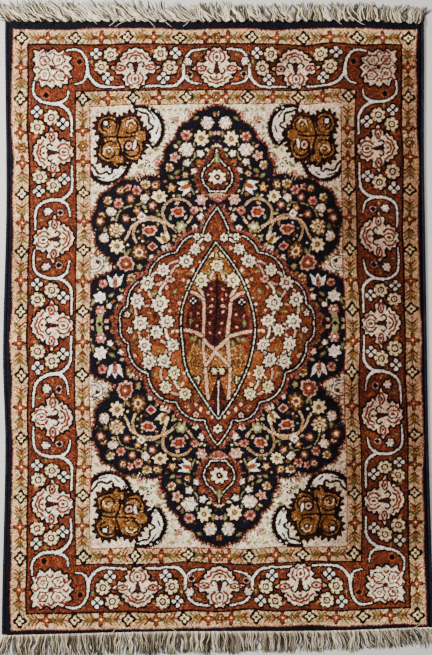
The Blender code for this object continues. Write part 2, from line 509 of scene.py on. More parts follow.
# What lies on both sides of a palmette: shape, how far along and across, its sizes and yarns
innerMarks = (
    (rosette, 24.5, 51),
    (rosette, 34, 37.5),
    (quatrefoil, 27.5, 26.5),
    (quatrefoil, 39.5, 52),
    (sprig, 16, 53, 7, 45, "orange"),
    (sprig, 44, 43, 6, 90, "olive"),
    (leaf, 19, 44, 6, 2.4, "maroon", 60),
    (leaf, 22, 33, 6, 2.4, "orange", 20),
)
outerMarks = (
    (flower, 28.5, 43.5, 8.4, "white", 6),
    (dot, 27, 31, 8.6, "line"),
    (dot, 27, 31, 6.6, "pink"),
    (diamond, 27, 31, 6.6, 6.6, "black"),
    (sprig, 20, 50, 6, 20, "olive"),
    (leaf, 19, 26, 7, 3, "orange", 30),
    (leaf, 33, 49, 6, 2.4, "maroon", 30),
    (leaf, 34, 37, 5, 2.4, "gold", 70),
)


def bothSides(marks, put, s):
    for side in (-1, 1):
        for shape, along, across, *sizes in marks:
            shape(*put(s + side * along, across), *sizes)


def innerCell(put, s):
    bothSides(innerMarks, put, s)
    palmette(put, s, 1)


def outerCell(put, s, half, reach):
    # a vine rings the cell on each side, runs on beside the next palmette and throws a leaf
    ring = ((half, 30), (half, 41), (half - 3, 49), (half - 8, 54), (half - 16, 55.5), (10, 55.5))
    run = ((half, 30), (half + 4, 24), (half + 9, 20), (half + 17, 18.7), (reach, 18.7))
    leafy = ((half, 31), (half - 4, 25), (half - 9, 22.5), (half - 17, 21))
    for side in (-1, 1):
        routes = []
        for route, first, last in ((ring, 3.2, 1.6), (run, 3.2, 1.6), (leafy, 3.4, 1.0)):
            routes.append(([put(s + side * u, t) for u, t in route], first, last))
        vines(routes)
    bothSides(outerMarks, put, s)
    palmette(put, s, -1)


# The corner: its vines as routes with first and last width, and a jagged flower, mirrored
# about the diagonal from its outer corner on
cornerVines = (
    (((2, 29), (3, 38), (4, 45), (7, 51), (12, 55.5), (19, 56), (25, 55)), 3.2, 1.6),
    (((3, 34), (5, 27), (9, 23), (15, 22)), 3.4, 1.0),
    (((2, 30), (-3, 23), (-10, 19), (-18, 18.2)), 3.2, 1.6),
)
cornerShape = {
    "outline": (
        (-18, 18), (-12, 16), (-9, 19), (-4, 15.5), (1, 19), (6, 15.5), (11, 18), (12, 13),
        (18, 11), (15, 6), (19, 1), (15, -3), (18, -8), (14, -9), (14, -14),
    ),
    "flowers": ((-7.5, 8, 9), (6, 8.5, 11), (-8, -6, 11), (7, -7, 10)),
    "marks": ((0, 14.5), (-14.5, 0), (13, 1), (-1, -13), (12, 13), (-13, -12), (13, -8), (-8, 15)),
}


def cornerCell():
    for put, sign, back in ((onSide, 1, -29), (onEnd, -1, -34)):
        start = chart["fieldAlong"] if sign > 0 else -chart["fieldAcross"]
        routes = []
        for route, first, last in cornerVines:
            if route[-1][0] < 0:  # this one runs on beside the next palmette
                route = route + ((back, 18.7),)
            routes.append(([put(start + sign * u, t) for u, t in route], first, last))
        vines(routes)
        layered(*put(start + sign * 11, 44), ((8.4, "orange"), (5.6, "black")))
    x, y = onSide(chart["fieldAlong"] + border["palmette"], border["palmette"])
    half = cornerShape["outline"]
    outline = half + tuple((-v, -u) for u, v in reversed(half[1:-1]))
    outlined([(x + u, y + v) for u, v in outline], "ivory")
    for u, v, size in cornerShape["flowers"]:
        rings = ((size + 2.6, "maroon", 6, 0.08), (size - 0.8, "ivory", 6, 0.08))
        layered(x + u, y + v, rings + ((size * 0.46, "red", 5, 0.10), (1.8, "cream")))
    for u, v in cornerShape["marks"]:
        stroke([(x + u - 2.4, y + v), (x + u, y + v + 2), (x + u + 2.4, y + v)], 2.0, "red")
    stroke([(x - 12, y + 13), (x, y + 1), (x + 9, y - 1)], 2.0, "rose")
    dot(x, y + 1, 5, "maroon")


def mainBorder():
    for put, side in ((onSide, "side"), (onEnd, "end")):
        for kind, s in border[side + "Cells"]:
            if kind == "outer":
                outerCell(put, s, border[side + "Half"], border[side + "Reach"])
            else:
                innerCell(put, s)
    cornerCell()


# Field: ivory corners, navy cartouche, rust medallion, pointed oval, two pendants
# The cartouche's lobes each have a middle, half sizes and first and last degrees; power 2 is an
# oval, less is nearer a diamond and more is nearer a box
cartouche = (
    {"middle": (0, 150), "reach": (53, 64), "power": 1.5, "first": 84, "last": 200, "arcs": 6},
    {"middle": (-70, 100), "reach": (49, 42), "power": 2.4, "first": 70, "last": 250, "arcs": 6},
    {"middle": (-95, 0), "reach": (44, 50), "power": 2.0, "first": 60, "last": 180, "arcs": 5},
)
cartoucheInside = ((6, 190), (-40, 150), (-70, 130), (-100, 90), (-100, 0), (6, 0))
medallion = {
    "halfWide": 95.0,
    "halfLong": 94.0,
    "power": 1.4,
    "first": 15,  # degrees from the tip to the first cusp
    "lobes": 4,
    "bow": 0.18,
    "spire": 115.0,
}
lantern = {
    "middle": 147.0,
    "radius": 15.0,
    "neck": 130,
    "foot": 230,
    "arcs": 3,
    "tip": 175.0,
    "base": 131.5,
}
oval = {"middle": -3.5, "halfLong": 85.0, "halfWide": 37.5, "power": 1.8, "steps": 24}

# Flowers of the navy ground, upper left quarter: x, y, size, kind, petals
navyFlowers = [
    (-9, 201, 13, "white", 6),
    (-15, 186, 14, "cream", 8),
    (-30, 189, 11, "pink", 6),
    (-30, 175, 15, "white", 6),
    (-42, 168, 10, "pink", 5),
    (-30, 162, 8, "white", 5),
    (-32, 150, 8, "gold", 6),
    (-46, 137, 9, "gold", 5),
    (-79, 134, 10, "pink", 6),
    (-71, 126, 9, "white", 4),
    (-57, 128, 13, "cream", 8),
    (-85, 126, 9, "orange", 6),
    (-97, 122, 10, "pink", 6),
    (-17, 124, 11, "blush", 6),
    (-105, 114, 10, "white", 6),
    (-91, 108, 9, "orange", 6),
    (-79, 115, 8, "gold", 5),
    (-64, 119, 9, "orange", 5),
    (-101, 95, 16, "cream", 8),
    (-100, 78, 14, "cream", 8),
    (-91, 60, 14, "red", 8),
    (-78, 72, 17, "gold", 8),
    (-37, 97, 11, "mint", 6),
    (-24, 113, 9, "pink", 6),
    (-78, 56, 7, "mint", 5),
    (-115, 27, 12, "white", 6),
    (-106, 18, 6, "white", 5),
    (-115, 13, 11, "blush", 6),
]
# Flowers of the rust ground, left half
rustFlowers = [
    (-8, 86, 8, "star", 6),
    (-20, 87, 7, "star", 6),
    (-22, 75, 11, "star", 8),
    (-31, 63, 14, "star", 8),
    (-54, 53, 13, "star", 8),
    (-69, 40, 14, "star", 8),
    (-48, 44, 8, "blush", 6),
    (-78, 23, 14, "star", 8),
    (-56, 21, 16, "star", 8),
    (-75, 2, 15, "star", 8),
    (-50, 3, 13, "star", 8),
    (-60, -7, 12, "star", 8),
    (-71, -20, 13, "star", 8),
    (-45, -20, 12, "star", 8),
    (-67, -36, 13, "star", 8),
    (-52, -35, 13, "star", 8),
    (-41, -45, 12, "sun", 8),
    (-50, -58, 12, "sun", 8),
    (-31, -64, 12, "sun", 8),
    (-86, -6, 6, "star", 5),
    (-88, 10, 6, "star", 5),
    (-22, -84, 6, "blush", 5),
    (0, -98, 9, "star", 6),
]


def outward(route, by, step=1.5):
    # the route moved to its outer side, and the way out at each point
    points = np.array(smooth(route, step))
    way = np.gradient(points, axis=0)
    out = np.stack([way[:, 1], -way[:, 0]], axis=1) / np.hypot(*way.T)[:, None]
    return points + by * out, np.degrees(np.arctan2(out[:, 1], out[:, 0]))


def feathered(route, length, yarnList, by, every, wide):
    # short strokes that stand out from an edge, every other one shorter
    points, turns = outward(route, by, every)
    for k, ((x, y), turn) in enumerate(zip(points, turns)):
        reach = length * (1.0 if k % 2 else 0.7)
        leaf(*around(x, y, reach * 0.4, turn), reach, wide, yarnList[k % len(yarnList)], turn)


def ovalPoint(middle, reach, power, degrees):
    # a place on an oval whose corners fill out with the power
    c, s = math.cos(math.radians(degrees)), math.sin(math.radians(degrees))
    x = middle[0] + reach[0] * math.copysign(abs(c) ** (2 / power), c)
    return x, middle[1] + reach[1] * math.copysign(abs(s) ** (2 / power), s)


def lobeEdge(plan, bow=0.2):
    # scallops whose cusps lie on part of an oval
    cusps = []
    for k in range(plan["arcs"] + 1):
        turn = plan["first"] + (plan["last"] - plan["first"]) * k / plan["arcs"]
        cusps.append(ovalPoint(plan["middle"], plan["reach"], plan["power"], turn) + (bow,))
    return scallops(cusps)


def cartoucheGround():
    edgesOfLobes = [lobeEdge(plan) for plan in cartouche]
    for edge in edgesOfLobes:
        feathered(edge, 8.0, ("brown", "rose", "maroon"), 0, 3.3, 2.4)
    for edge in edgesOfLobes:
        feathered(edge, 4.6, ("navy", "line", "navy"), -0.5, 2.6, 2.7)
    for edge, plan in zip(edgesOfLobes, cartouche):
        patch(edge + [plan["middle"]], "navy")
    patch(cartoucheInside, "navy")


# Spiral stems: middle, radius, first degree and sweep; and thin stems: width, yarn, route
spiralStems = ((-40, 111, 14.5, -60, 320), (-68, 92, 16, -20, 240))
thinStems = (
    (2.2, "sand", (-95, 81), (-90, 89), (-86, 98), (-80, 103), (-69, 105), (-56, 103), (-46, 97), (-36, 87)),
    (1.3, "leaf", (-101, 104), (-97, 114), (-88, 119), (-76, 121), (-64, 124)),
    (1.3, "leaf", (-15, 193), (-22, 182), (-22, 168), (-34, 156), (-30, 144), (-24, 130)),
    (1.3, "leaf", (-92, 70), (-96, 84), (-110, 88)),
    (1.3, "leaf", (-118, 36), (-108, 22), (-118, 4)),
)


def spirals():
    for x, y, radius, first, sweep in spiralStems:
        ring = arc(x, y, radius, first, sweep, 19)
        stroke(ring, 2.2, "sand")
        stroke(ring[2:-2], 1.0, "gold")
    for width, yarn, *route in thinStems:
        stroke(route, width, yarn)


rimRow = {"inset": 6.0, "gap": 5.0, "reach": 5.6, "bare": 0.86, "size": 8.0}


def rimFlowers():
    # a row of small flowers just inside the jagged edge, where the ground is bare
    kinds = ("white", "cream", "pink", "white", "orange", "cream", "mint", "white", "cream", "gold")
    rows = [outward(lobeEdge(plan), -rimRow["inset"], rimRow["gap"])[0] for plan in cartouche]
    for k, (x, y) in enumerate(np.concatenate(rows)):
        knots = nearby(x, y, rimRow["reach"])[0]
        if (knots == yarnNumber["navy"]).mean() > rimRow["bare"]:
            flower(x, y, rimRow["size"] + k % 3, kinds[k % len(kinds)], 5 + k % 2, 37 * k)


navyMarks = (
    (tulip, -32, 138, 15, "white", "orange", 200),
    (tulip, -53, 85, 13, "cream", "gold", 120),
    (tulip, -101, 41, 16, "white", "rose", 90),
    (bloom, -40, 112, 15, "pink", 7, 0.1, 0, 0.75),
    (bloom, -40, 112, 11, "red", 6, 0.1, 0, 0.7),
    (dot, -40, 112, 4, "orange"),
    (bloom, -68, 94, 15, "pink", 7, 0.1, 0, 0.75),
    (bloom, -68, 94, 11, "red", 6, 0.1, 0, 0.7),
    (dot, -68, 94, 4, "orange"),
    (diamond, -75, 109, 9, 9, "white"),
    (diamond, -75, 109, 4, 4, "rose"),
    (diamond, -65, 78, 11, 9, "pink"),
    (diamond, -65, 78, 8, 6, "red"),
    (sprig, -40, 153, 8, 40),
    (sprig, -46, 148, 7, -30),
    (sprig, -108, 121, 7, 20),
    (sprig, -112, 94, 9, 90),
    (sprig, -89, 72, 8, 60),
    (sprig, -123, 22, 9, 80),
    (sprig, -104, 29, 8, 30),
    (sprig, -110, 64, 7, 50),
    (sprig, -58, 110, 7, 0),
    (sprig, -20, 145, 8, 70),
    (sprig, -6, 190, 8, 90),
    (sprig, -20, 206, 7, 30),
    (leaf, -116, 5, 12, 6, "leaf", 70),
    (leaf, -116, 5, 12, 6, "leaf", 250),
    (diamond, -116, 0, 8, 10, "leaf"),
    (diamond, -116, 0, 5, 6, "black"),
)


def navyGarden():
    spirals()
    for k, (x, y, size, kind, petals) in enumerate(navyFlowers):
        (star if k % 3 == 1 else flower)(x, y, size, kind, petals)
    drawAll(navyMarks)
    rimFlowers()
    kinds = ("white", "cream", "pink", "gold", "white", "orange", "mint", "cream")
    fillBare("navy", (-122, 0, 0, 210), 3.0, kinds, 31, 6.4)
    filling = ("gold", "sand", "olive", "rose", "leaf", "brown", "sand", "pink", "leaf", "cream")
    scatter("navy", (-124, 0, 0, 212), 3.8, filling, 20)


# Double contours: a white thread in a dark line, broken every few knots
contour = {"wide": 5.0, "thread": 0.8, "dash": 9, "dashAndGap": 11}


def whiteLine(route):
    points = smooth(route)
    for x, y in points:
        dot(x, y, contour["wide"], "line")
    for k, (x, y) in enumerate(points):
        if k % contour["dashAndGap"] < contour["dash"]:
            dot(x, y, contour["thread"], "white")


def glow(outline):
    # salmon band and feathers outside a white line
    feathered(outline, 6.0, ("maroon", "rose", "maroon", "brown"), 3.0, 2.7, 2.2)
    stroke(outward(outline, 3.6)[0], 2.8, "rose")
    feathered(outline, 3.6, ("rust", "maroon", "rust"), 2.6, 3.1, 1.6)


def medallionEdge():
    # a spire, then scallops whose cusps lie on a squarish oval
    reach = (medallion["halfWide"], medallion["halfLong"])
    cusps = [(0, medallion["spire"], 0.05)]
    for k in range(medallion["lobes"] + 1):
        turn = 90 + medallion["first"] + (90 - medallion["first"]) * k / medallion["lobes"]
        cusps.append(ovalPoint((0, 0), reach, medallion["power"], turn) + (medallion["bow"],))
    return scallops(cusps + [(cusps[-1][0], -6, 0)])


def medallionGround():
    outline = medallionEdge()
    glow(outline)
    patch(outline + [(6, -6), (6, medallion["spire"])], "rust")
    whiteLine(outline)


def ovalEdge(way=1):
    # half of the pointed oval's left side, from a tip to its widest place; way is 1 for the upper
    out = []
    for k in range(oval["steps"] + 1):
        y = oval["halfLong"] * (1 - k / oval["steps"])
        bow = 1 - (y / oval["halfLong"]) ** oval["power"]
        out.append((-oval["halfWide"] * bow, oval["middle"] + way * y))
    return out


# Stars and the twigs between them: how many stars have twigs, and how far a twig reaches
rustLook = {
    "starSize": 0.96,
    "twigged": 19,
    "twigReach": 26,
    "twigBend": 0.16,
    "twigOutline": 4.0,
    "twigWide": 2.3,
}
rustMarks = (
    (sprig, -62, 30, 9, 40),
    (sprig, -66, 12, 7, 0),
    (sprig, -42, 32, 8, 60),
    (sprig, -40, 52, 7, -20),
    (sprig, -84, 14, 7, 80),
    (sprig, -58, -26, 8, 30),
    (sprig, -60, -47, 8, -30),
    (sprig, -38, -54, 8, 50),
    (sprig, -82, -12, 7, 70),
    (sprig, -34, -34, 7, 60),
)
rustBuds = ((-38, 20), (-34, 44), (-44, 44), (-50, 36), (-14, 76), (-10, -82), (-22, -74))


def rustGarden():
    # low in the medallion the ground is warmer
    warm = [(0.9 * x, -0.9 * y) for x, y in medallionEdge() if 18 < y < 84]
    patch(warm + [(-20, -26)], "orange")
    drawAll(rustMarks)
    twigged = rustFlowers[:rustLook["twigged"]]
    bend = rustLook["twigBend"]
    for k, (x, y, *_) in enumerate(twigged):
        for u, v, *_ in twigged[k + 1:]:
            if math.hypot(u - x, v - y) < rustLook["twigReach"]:
                middle = ((x + u) / 2 + (v - y) * bend, (y + v) / 2 - (u - x) * bend)
                stroke([(x, y), middle, (u, v)], rustLook["twigOutline"], "maroon")
                stroke([(x, y), middle, (u, v)], rustLook["twigWide"], "pink" if k % 2 else "ivory")
    for x, y, size, kind, petals in rustFlowers:
        star(x, y, size * rustLook["starSize"], kind, petals)
    for x, y in rustBuds:
        diamond(x, y, 6, 6, "line")
        diamond(x, y, 4, 4, "pink")
    scatter("orange", (-94, -2, -84, -18), 3.2, ("gold", "gold", "cream", "leaf", "gold"), 32)
    filling = ("cream", "olive", "pink", "orange", "gold", "maroon", "cream", "gold", "orange")
    scatter("rust", (-94, -2, -119, 119), 3.3, filling, 21)


# Inside the oval, left half: grounds, twigs, then marks in the order that they are drawn
ovalGrounds = (
    ("maroon", (6, 46), (-10, 40), (-22, 26), (-31, 8), (-32, -8), (-24, -18), (-10, -22), (6, -26)),
    ("gold", (6, -26), (-10, -22), (-24, -18), (-30, -30), (-22, -52), (-10, -70), (6, -80)),
)
ovalTwigs = (
    ((-22, 40), (-14, 26), (-12.5, -8), (-12, -40), (-10, -68)),
    ((-4, 52), (-7, 44), (-12, 38)),
    ((-33, -6), (-22, -8), (-12, -12)),
    ((-12, -14), (-6, -20), (0, -25), (-5, -31), (-11, -38)),
    ((-30, 32), (-22, 30), (-14, 24)),
)
ovalMarks = (
    (star, 0, 58, 12, "sun", 8),
    (star, -16, 43, 14, "sun", 8),
    (dot, -24.5, 22, 9.6, "black"),
    (dot, -24.5, 24.4, 1.7, "white"),
    (dot, -24.5, 19.6, 1.7, "white"),
    (dot, -22.1, 22, 1.7, "white"),
    (dot, -26.9, 22, 1.7, "white"),
    (star, -6, 70, 7, "sun", 6),
    (sprig, -22, -14, 8, 60),
    (sprig, -27, 2, 8, 90),
    (sprig, -5, 74, 8, 70),
    (sprig, -8, 50, 8, 20),
    (sprig, -26, -14, 8, 0),
    (sprig, -17, -18, 8, 90),
    (bloom, -21, -34, 12, "line", 6, 0.12),
    (bloom, -21, -34, 9.5, "gold", 6, 0.12),
    (bloom, -21, -34, 5, "brown", 5, 0.12),
    (flower, -20, -52, 8, "cream", 6),
    (flower, -4, -44, 7, "cream", 6),
)
ovalBuds = ((-6, 12), (-6, 1), (-5, 24), (-5, -8), (-19, 10), (-20, -2), (-6, 34))


def ovalGround():
    upper, lower = ovalEdge(), ovalEdge(-1)
    tip, foot = (6, upper[0][1]), (6, lower[0][1])
    patch(upper + lower[::-1] + [foot, tip], "rust")
    patch(upper[:14] + [(-22, 34), (6, 44), tip], "gold")
    for yarn, *outline in ovalGrounds:
        patch(outline, yarn)
    stroke([(0, 48), (0, -18)], 2.4, "line")
    stroke([(0, 70), (0, 58)], 1.6, "sand")
    for route in ovalTwigs:
        for width, yarn in ((4.8, "maroon"), (3.0, "sand"), (2.2, "pink")):
            stroke(route, width, yarn)
    drawAll(ovalMarks)
    for x, y in ovalBuds:
        layered(x, y, ((3.8, "red"), (2.4, "pink")))
    # the dark foot with its white stem
    patch([(0, -46), (-4, -56), (-9, -70), (0, -88), (6, -88), (6, -46)], "maroon")
    stroke([(0, -50), (0, -86)], 3.0, "line")
    stroke([(0, -52), (0, -84)], 1.2, "white")
    filling = ("rust", "pink", "red", "rose", "rust", "line", "brown")
    scatter("maroon", (-31, -2, -84, 46), 4.2, filling, 22)
    scatter("gold", (-33, 0, -84, 84), 3.8, ("olive", "orange", "rust", "brown", "leaf", "orange"), 29)
    scatter("rust", (-33, 0, -84, 84), 4.2, ("gold", "cream", "olive", "maroon", "gold"), 23)
    whiteLine(upper)
    whiteLine(lower)


def lanternEdge():
    # a round body under a hollow-sided tip, on a flat base
    sweep = lantern["foot"] - lantern["neck"]
    body = arc(0, lantern["middle"], lantern["radius"], lantern["neck"], sweep, lantern["arcs"] + 1)
    cusps = [(0, lantern["tip"], -0.10)] + [place + (0.12,) for place in body]
    cusps[-1] = cusps[-1][:2] + (0,)
    return scallops(cusps + [(-8, lantern["base"], 0), (0, lantern["base"], 0)])


def pendant():
    outline = lanternEdge()
    middle, base = lantern["middle"], lantern["base"]
    glow(outline)
    stroke([(-7, base - 2), (-2, base - 7), (0, base - 7)], 6, "rose")
    patch(outline + [(6, base), (6, lantern["tip"])], "rust")
    scatter("rust", (-15, 0, base, lantern["tip"]), 3.4, ("maroon", "gold", "line", "maroon"), 24)
    whiteLine(outline)
    star(0, middle, 16, "star", 8)
    layered(0, middle, ((5.6, "black"), (2.4, "pink")))
    leaf(0, middle + 19, 14, 6, "olive", 90)
    leaf(0, middle + 20, 10, 2.6, "leaf", 90)
    stroke([(-7, base - 4), (-3, base - 2), (0, base - 3)], 1.3, "sand")


# Four-lobed corner palmette with a thick barbed edge: middles and sizes of its lobes and fillets
goldLobes = ((-109, 199, 20), (-86, 199, 19), (-108, 175, 20), (-84, 177, 21))
goldFillets = ((-99, 165, 11), (-76, 189, 11), (-97, 187, 30))
goldMiddle = (-97, 187)
goldSeams = (
    ((-97.5, 210), (-97.5, 198), (-100, 188), (-97, 178), (-97, 170)),
    ((-116, 187.5), (-104, 188), (-92, 187), (-82, 188.5)),
)
goldTicks = ((-103.5, 192.5), (-91.5, 182.5), (-103.5, 182), (-91.5, 193))
goldHalfRings = ((-86, 200), (-109, 174))
goldMarks = (
    (layered, -111, 202, ((8.4, "line"), (4.4, "white"))),
    (layered, -88, 179, ((11, "line"), (7, "pink"), (3, "maroon"))),
    (leaf, -82, 180, 13, 6, "line", 80),
    (leaf, -82, 180, 10, 3, "white", 80),
)


def goldPalmette():
    for x, y, size in goldLobes + goldFillets:
        bloom(x, y, size + 13, "line", 14, 0.11, 7 * x)
        bloom(x, y, size + 7, "maroon", 14, 0.07, 7 * x)
    for grow, yarn in ((3.4, "line"), (0, "gold")):
        for x, y, size in goldLobes + goldFillets:
            bloom(x, y, size + grow, yarn, 5, 0.04, 9 * y)
    for x, y, size in goldLobes:
        # a curl that winds in from the leaf's middle
        inward = math.degrees(math.atan2(goldMiddle[1] - y, goldMiddle[0] - x))
        curl = [around(x, y, size * (0.46 - 0.018 * k), inward + 30 * k) for k in range(11)]
        stroke(curl, 1.9, "line")
        layered(x, y, ((size * 0.30, "maroon", 5, 0.12), (2.4, "cream")))
    for route in goldSeams:
        stroke(route, 2.2, "line")
    for x, y in goldTicks:
        stroke([(x - 2, y - 2), (x + 2, y + 2)], 1.5, "brown")
    for x, y in goldHalfRings:
        stroke([around(x, y, 4.4, turn) for turn in (11.5, 68.8, 137.5, 194.8)], 1.4, "cream")
    drawAll(goldMarks)


# Two curled white leaves round it: middle, radius, degrees from the thin end to the blunt one
curls = (
    {"middle": (-76, 196), "radius": 22.0, "first": 105, "last": -55, "wide": 12.0},
    {"middle": (-108, 163), "radius": 19.0, "first": 180, "last": 352, "wide": 11.0},
)


def curledLeaf(curl, steps=16):
    outer, inner, vein = [], [], []
    for k in range(steps + 1):
        t = k / steps
        turn = curl["first"] + (curl["last"] - curl["first"]) * t
        wide = curl["wide"] * (0.2 + 0.8 * math.sin(math.pi * 0.66 * t)) * (1 + 0.2 * math.sin(19 * t))
        for line, inwards in ((outer, 0), (inner, 1), (vein, 0.4)):
            line.append(around(*curl["middle"], curl["radius"] - inwards * wide, turn))
    patch(outer + inner[::-1], "white")
    rim = outer if curl["last"] > curl["first"] else outer[::-1]
    feathered(rim, 5.6, ("line", "maroon"), 0, 3.8, 2.2)
    stroke(outer + inner[-1:], 3.4, "line")
    stroke(inner, 2.4, "line")
    stroke(vein[steps // 4:steps // 2], 1.7, "line")
    stroke(vein[steps * 5 // 8:steps * 3 // 4 + 1], 1.7, "line")
    layered(*vein[-2], ((3.4, "maroon"), (1.6, "pink")))


# Small things on the ivory ground: trefoils, twin leaves with their turn, blossoms, single leaves
ivoryTrefoils = ((-66, 216), (-60, 214), (-69, 164), (-73, 160), (-66, 158))
ivoryTwins = (
    (-76, 159, 30), (-60, 155, -40), (-58, 146, 10),
    (-58, 168, 60), (-84, 148, 20), (-60, 176, 0),
)
ivoryBlossoms = (
    (-60, 163), (-78, 151), (-54, 152), (-40, 204),
    (-26, 210), (-34, 196), (-114, 132), (-122, 118),
)
ivoryLeaves = ((-121, 134), (-103, 134), (-44, 206), (-30, 214), (-120, 76), (-122, 66))


def ivoryGround():
    for curl in curls:
        curledLeaf(curl)
    stroke([(-44, 202), (-40, 203), (-38, 207)], 1.8, "line")
    for x, y in ivoryTrefoils:
        layered(x, y, ((5.6, "line", 3, 0.2), (1.8, "white")))
    for x, y, turn in ivoryTwins:
        leaf(x, y, 8, 4.4, "leaf", turn)
        leaf(x, y, 6, 1.6, "olive", turn)
    for x, y in ivoryBlossoms:
        layered(x, y, ((8, "rose", 6, 0.16), (5.5, "pink", 6, 0.14), (2, "red")))
    for x, y in ivoryLeaves:
        leaf(x, y, 7, 3.2, "leaf", 40)
    filling = ("pink", "leaf", "sand", "sand", "sand", "leaf")
    scatter("ivory", (-125, -8, 34, 219), 6.0, filling, 25, 0.6)


def edgeHooks():
    # small hooks that stand in from the field's side
    for y in (60, 74):
        hook = [(-125, y - 6), (-117, y - 4), (-115, y + 3), (-122, y + 6)]
        stroke(hook, 3.6, "line")
        stroke(hook, 1.6, "white")
    leaf(-121, 70, 9, 4, "gold", 70)
    dot(-119, 62, 4, "maroon")


# Narrow guards: diamonds at even stations, and one longer joint with a ring in it
guards = {
    "outer": {
        "middle": 68.0,
        "endCount": 7,
        "endJointAt": 3,
        "endJoint": 1.36,
        "sideCount": 9,
        "sideJointAt": 1,
        "sideJoint": 1.55,
    },
    "inner": {
        "middle": 7.5,
        "endCount": 5,
        "endJointAt": 2,
        "endJoint": 1.20,
        "sideCount": 7,
        "sideJointAt": 0,
        "sideJoint": 1.55,
    },
}
guardLayers = {
    "diamond": ((14.4, "line", 4, 0.16), (8.6, "cream", 4, 0.24), (3.4, "gold"), (1.9, "line")),
    "cross": ((14.5, "maroon", 4, 0.26), (11.5, "rust", 4, 0.30), (7, "orange", 4, 0.24), (2.0, "cream")),
    "ring": ((12, "brown", 6, 0.12), (8.6, "gold", 6, 0.12), (4.4, "maroon"), (2, "cream")),
}
arrowStrokes = ((-4.0, "olive", 3.4), (0, "gold", 3.0), (3.4, "brown", 2.2))
# Between two diamonds: share of the way, motif and the way that it points
plainJoint = ((0.26, "arrow", 1), (0.5, "cross", 1), (0.75, "arrow", -1))
ringJoint = (
    (0.18, "arrow", 1), (0.34, "cross", 1), (0.5, "ring", 1),
    (0.66, "cross", 1), (0.82, "arrow", -1),
)


def guardArrow(x, y, way, turn):
    c, s = math.cos(math.radians(turn)), math.sin(math.radians(turn))
    for start, yarn, width in arrowStrokes:
        for wing in (-1, 1):
            route = []
            for u, v in ((start + 2.6 * way, 0), (start, 2.6 * wing), (start - 2 * way, 5.2 * wing)):
                route.append((x + u * c - v * s, y + u * s + v * c))
            taper(route, width, 1.2, yarn)


def guardRow(turn, offset, first, count, jointAt, joint):
    # from the first corner's diamond to the last one's; turn is 90 along the sides
    def put(s):
        return (offset, s) if turn else (s, offset)

    unit = 2 * abs(first) / (count - 1 + joint)
    step = 1 if first < 0 else -1
    s = first
    for k in range(count):
        marks = ringJoint if k == jointAt else plainJoint
        end = s + step * unit * (joint if k == jointAt else 1)
        for share, kind, way in marks:
            place = put(s + (end - s) * share)
            if kind == "arrow":
                guardArrow(*place, way * step, turn)
            else:
                layered(*place, guardLayers[kind], 0 if kind == "ring" else turn)
        layered(*put(s), guardLayers["diamond"], turn)
        s = end
    layered(*put(s), guardLayers["diamond"], turn)


def guardBands():
    for plan in guards.values():
        x = chart["fieldAcross"] + plan["middle"]
        y = chart["fieldAlong"] + plan["middle"]
        for sign in (-1, 1):
            stroke([(-x, sign * y), (x, sign * y)], 1.1, "rust")
            stroke([(sign * x, -y), (sign * x, y)], 1.1, "rust")
        for sign in (-1, 1):
            guardRow(0, sign * y, -x, plan["endCount"], plan["endJointAt"], plan["endJoint"])
            guardRow(90, sign * x, y, plan["sideCount"], plan["sideJointAt"], plan["sideJoint"])


# The ground's bands: how far outside the field each starts
bands = [
    (0.0, "red"),
    (1.0, "sand"),
    (13.8, "line"),
    (15.6, "rust"),
    (60.0, "line"),
    (61.8, "sand"),
    (75.8, "rose"),
    (76.8, "navy"),
]


def groundBands():
    across, along = np.meshgrid(np.abs(chartX), np.abs(chartY))
    outside = np.maximum(across - chart["fieldAcross"], along - chart["fieldAlong"])
    for start, yarn in bands:
        picture[outside >= start] = yarnNumber[yarn]


def foldDown():
    # the upper half is woven again, mirrored, below the middle
    picture[:halfTall] = picture[halfTall:][::-1]


def foldAcross():
    picture[:, halfWide:] = picture[:, :halfWide][:, ::-1]


def paintChart():
    picture[:] = yarnNumber["ivory"]
    goldPalmette()
    ivoryGround()
    edgeHooks()
    cartoucheGround()
    navyGarden()
    medallionGround()
    pendant()
    groundBands()
    mainBorder()
    foldDown()
    rustGarden()
    ovalGround()
    foldAcross()
    guardBands()


paintChart()
print("stage: chart painted")

# Pile: one face for each knot
pile = {
    "across": 412,
    "along": 606,
    "top": 0.0049,
    "highest": 0.0052,
    "under": 0.0012,
    "relief": 0.00042,
    "reliefSpread": 0.6,  # share of the relief by which corners stray up and down
    "reliefDrop": 0.5,  # and by which all of them lie lower
    "swell": 0.00012,  # low swells, and how many knots each is across
    "swellCell": 14,
    "stray": 0.00014,
    "rimDrop": 0.0011,
    "rimKnots": 1.6,
    "dye": 0.22,  # spread of the colour from knot to knot, part dye and part painted shade between tufts
    "tuft": 0.19,  # and between small groups of knots, also part painted shade
    "tuftCell": 2.2,
    "abrash": 0.05,  # from row to row
    "abrashCell": 9,
    "cloud": 0.07,  # and over wide patches
    "cloudCell": 25,
    "dim": 0.03,
    "shadowPits": 0.06,  # share of knots darkened with painted shadow between tufts
    "pitShadowTone": 0.4,
    "toneRange": (0.2, 1.7),
    "cutSideShade": 0.7,  # painted shade on the pile's cut sides, as a share of their knots' colour
    "ragged": 0.16,  # knots that an outline strays
    "wanderAcross": 36,  # knots from bend to bend where the hand work strays
    "wanderAlong": 30,
    "seed": 11,
}
# Yarns whose knots are mixed with others: share, the others
skeins = {
    "rust": (0.34, ("orange", "maroon", "brown", "maroon", "orange")),
    "sand": (0.30, ("ivory", "gold", "gold", "pink")),
    "ivory": (0.16, ("sand", "cream", "pink", "leaf")),
    "cream": (0.12, ("ivory", "sand")),
    "navy": (0.10, ("black",)),
    "gold": (0.34, ("brown", "orange", "sand", "brown")),
    "orange": (0.20, ("rust", "gold")),
    "maroon": (0.20, ("rust", "line")),
    "rose": (0.24, ("rust", "pink", "maroon")),
    "pink": (0.14, ("rose", "ivory")),
    "olive": (0.20, ("brown", "leaf")),
}
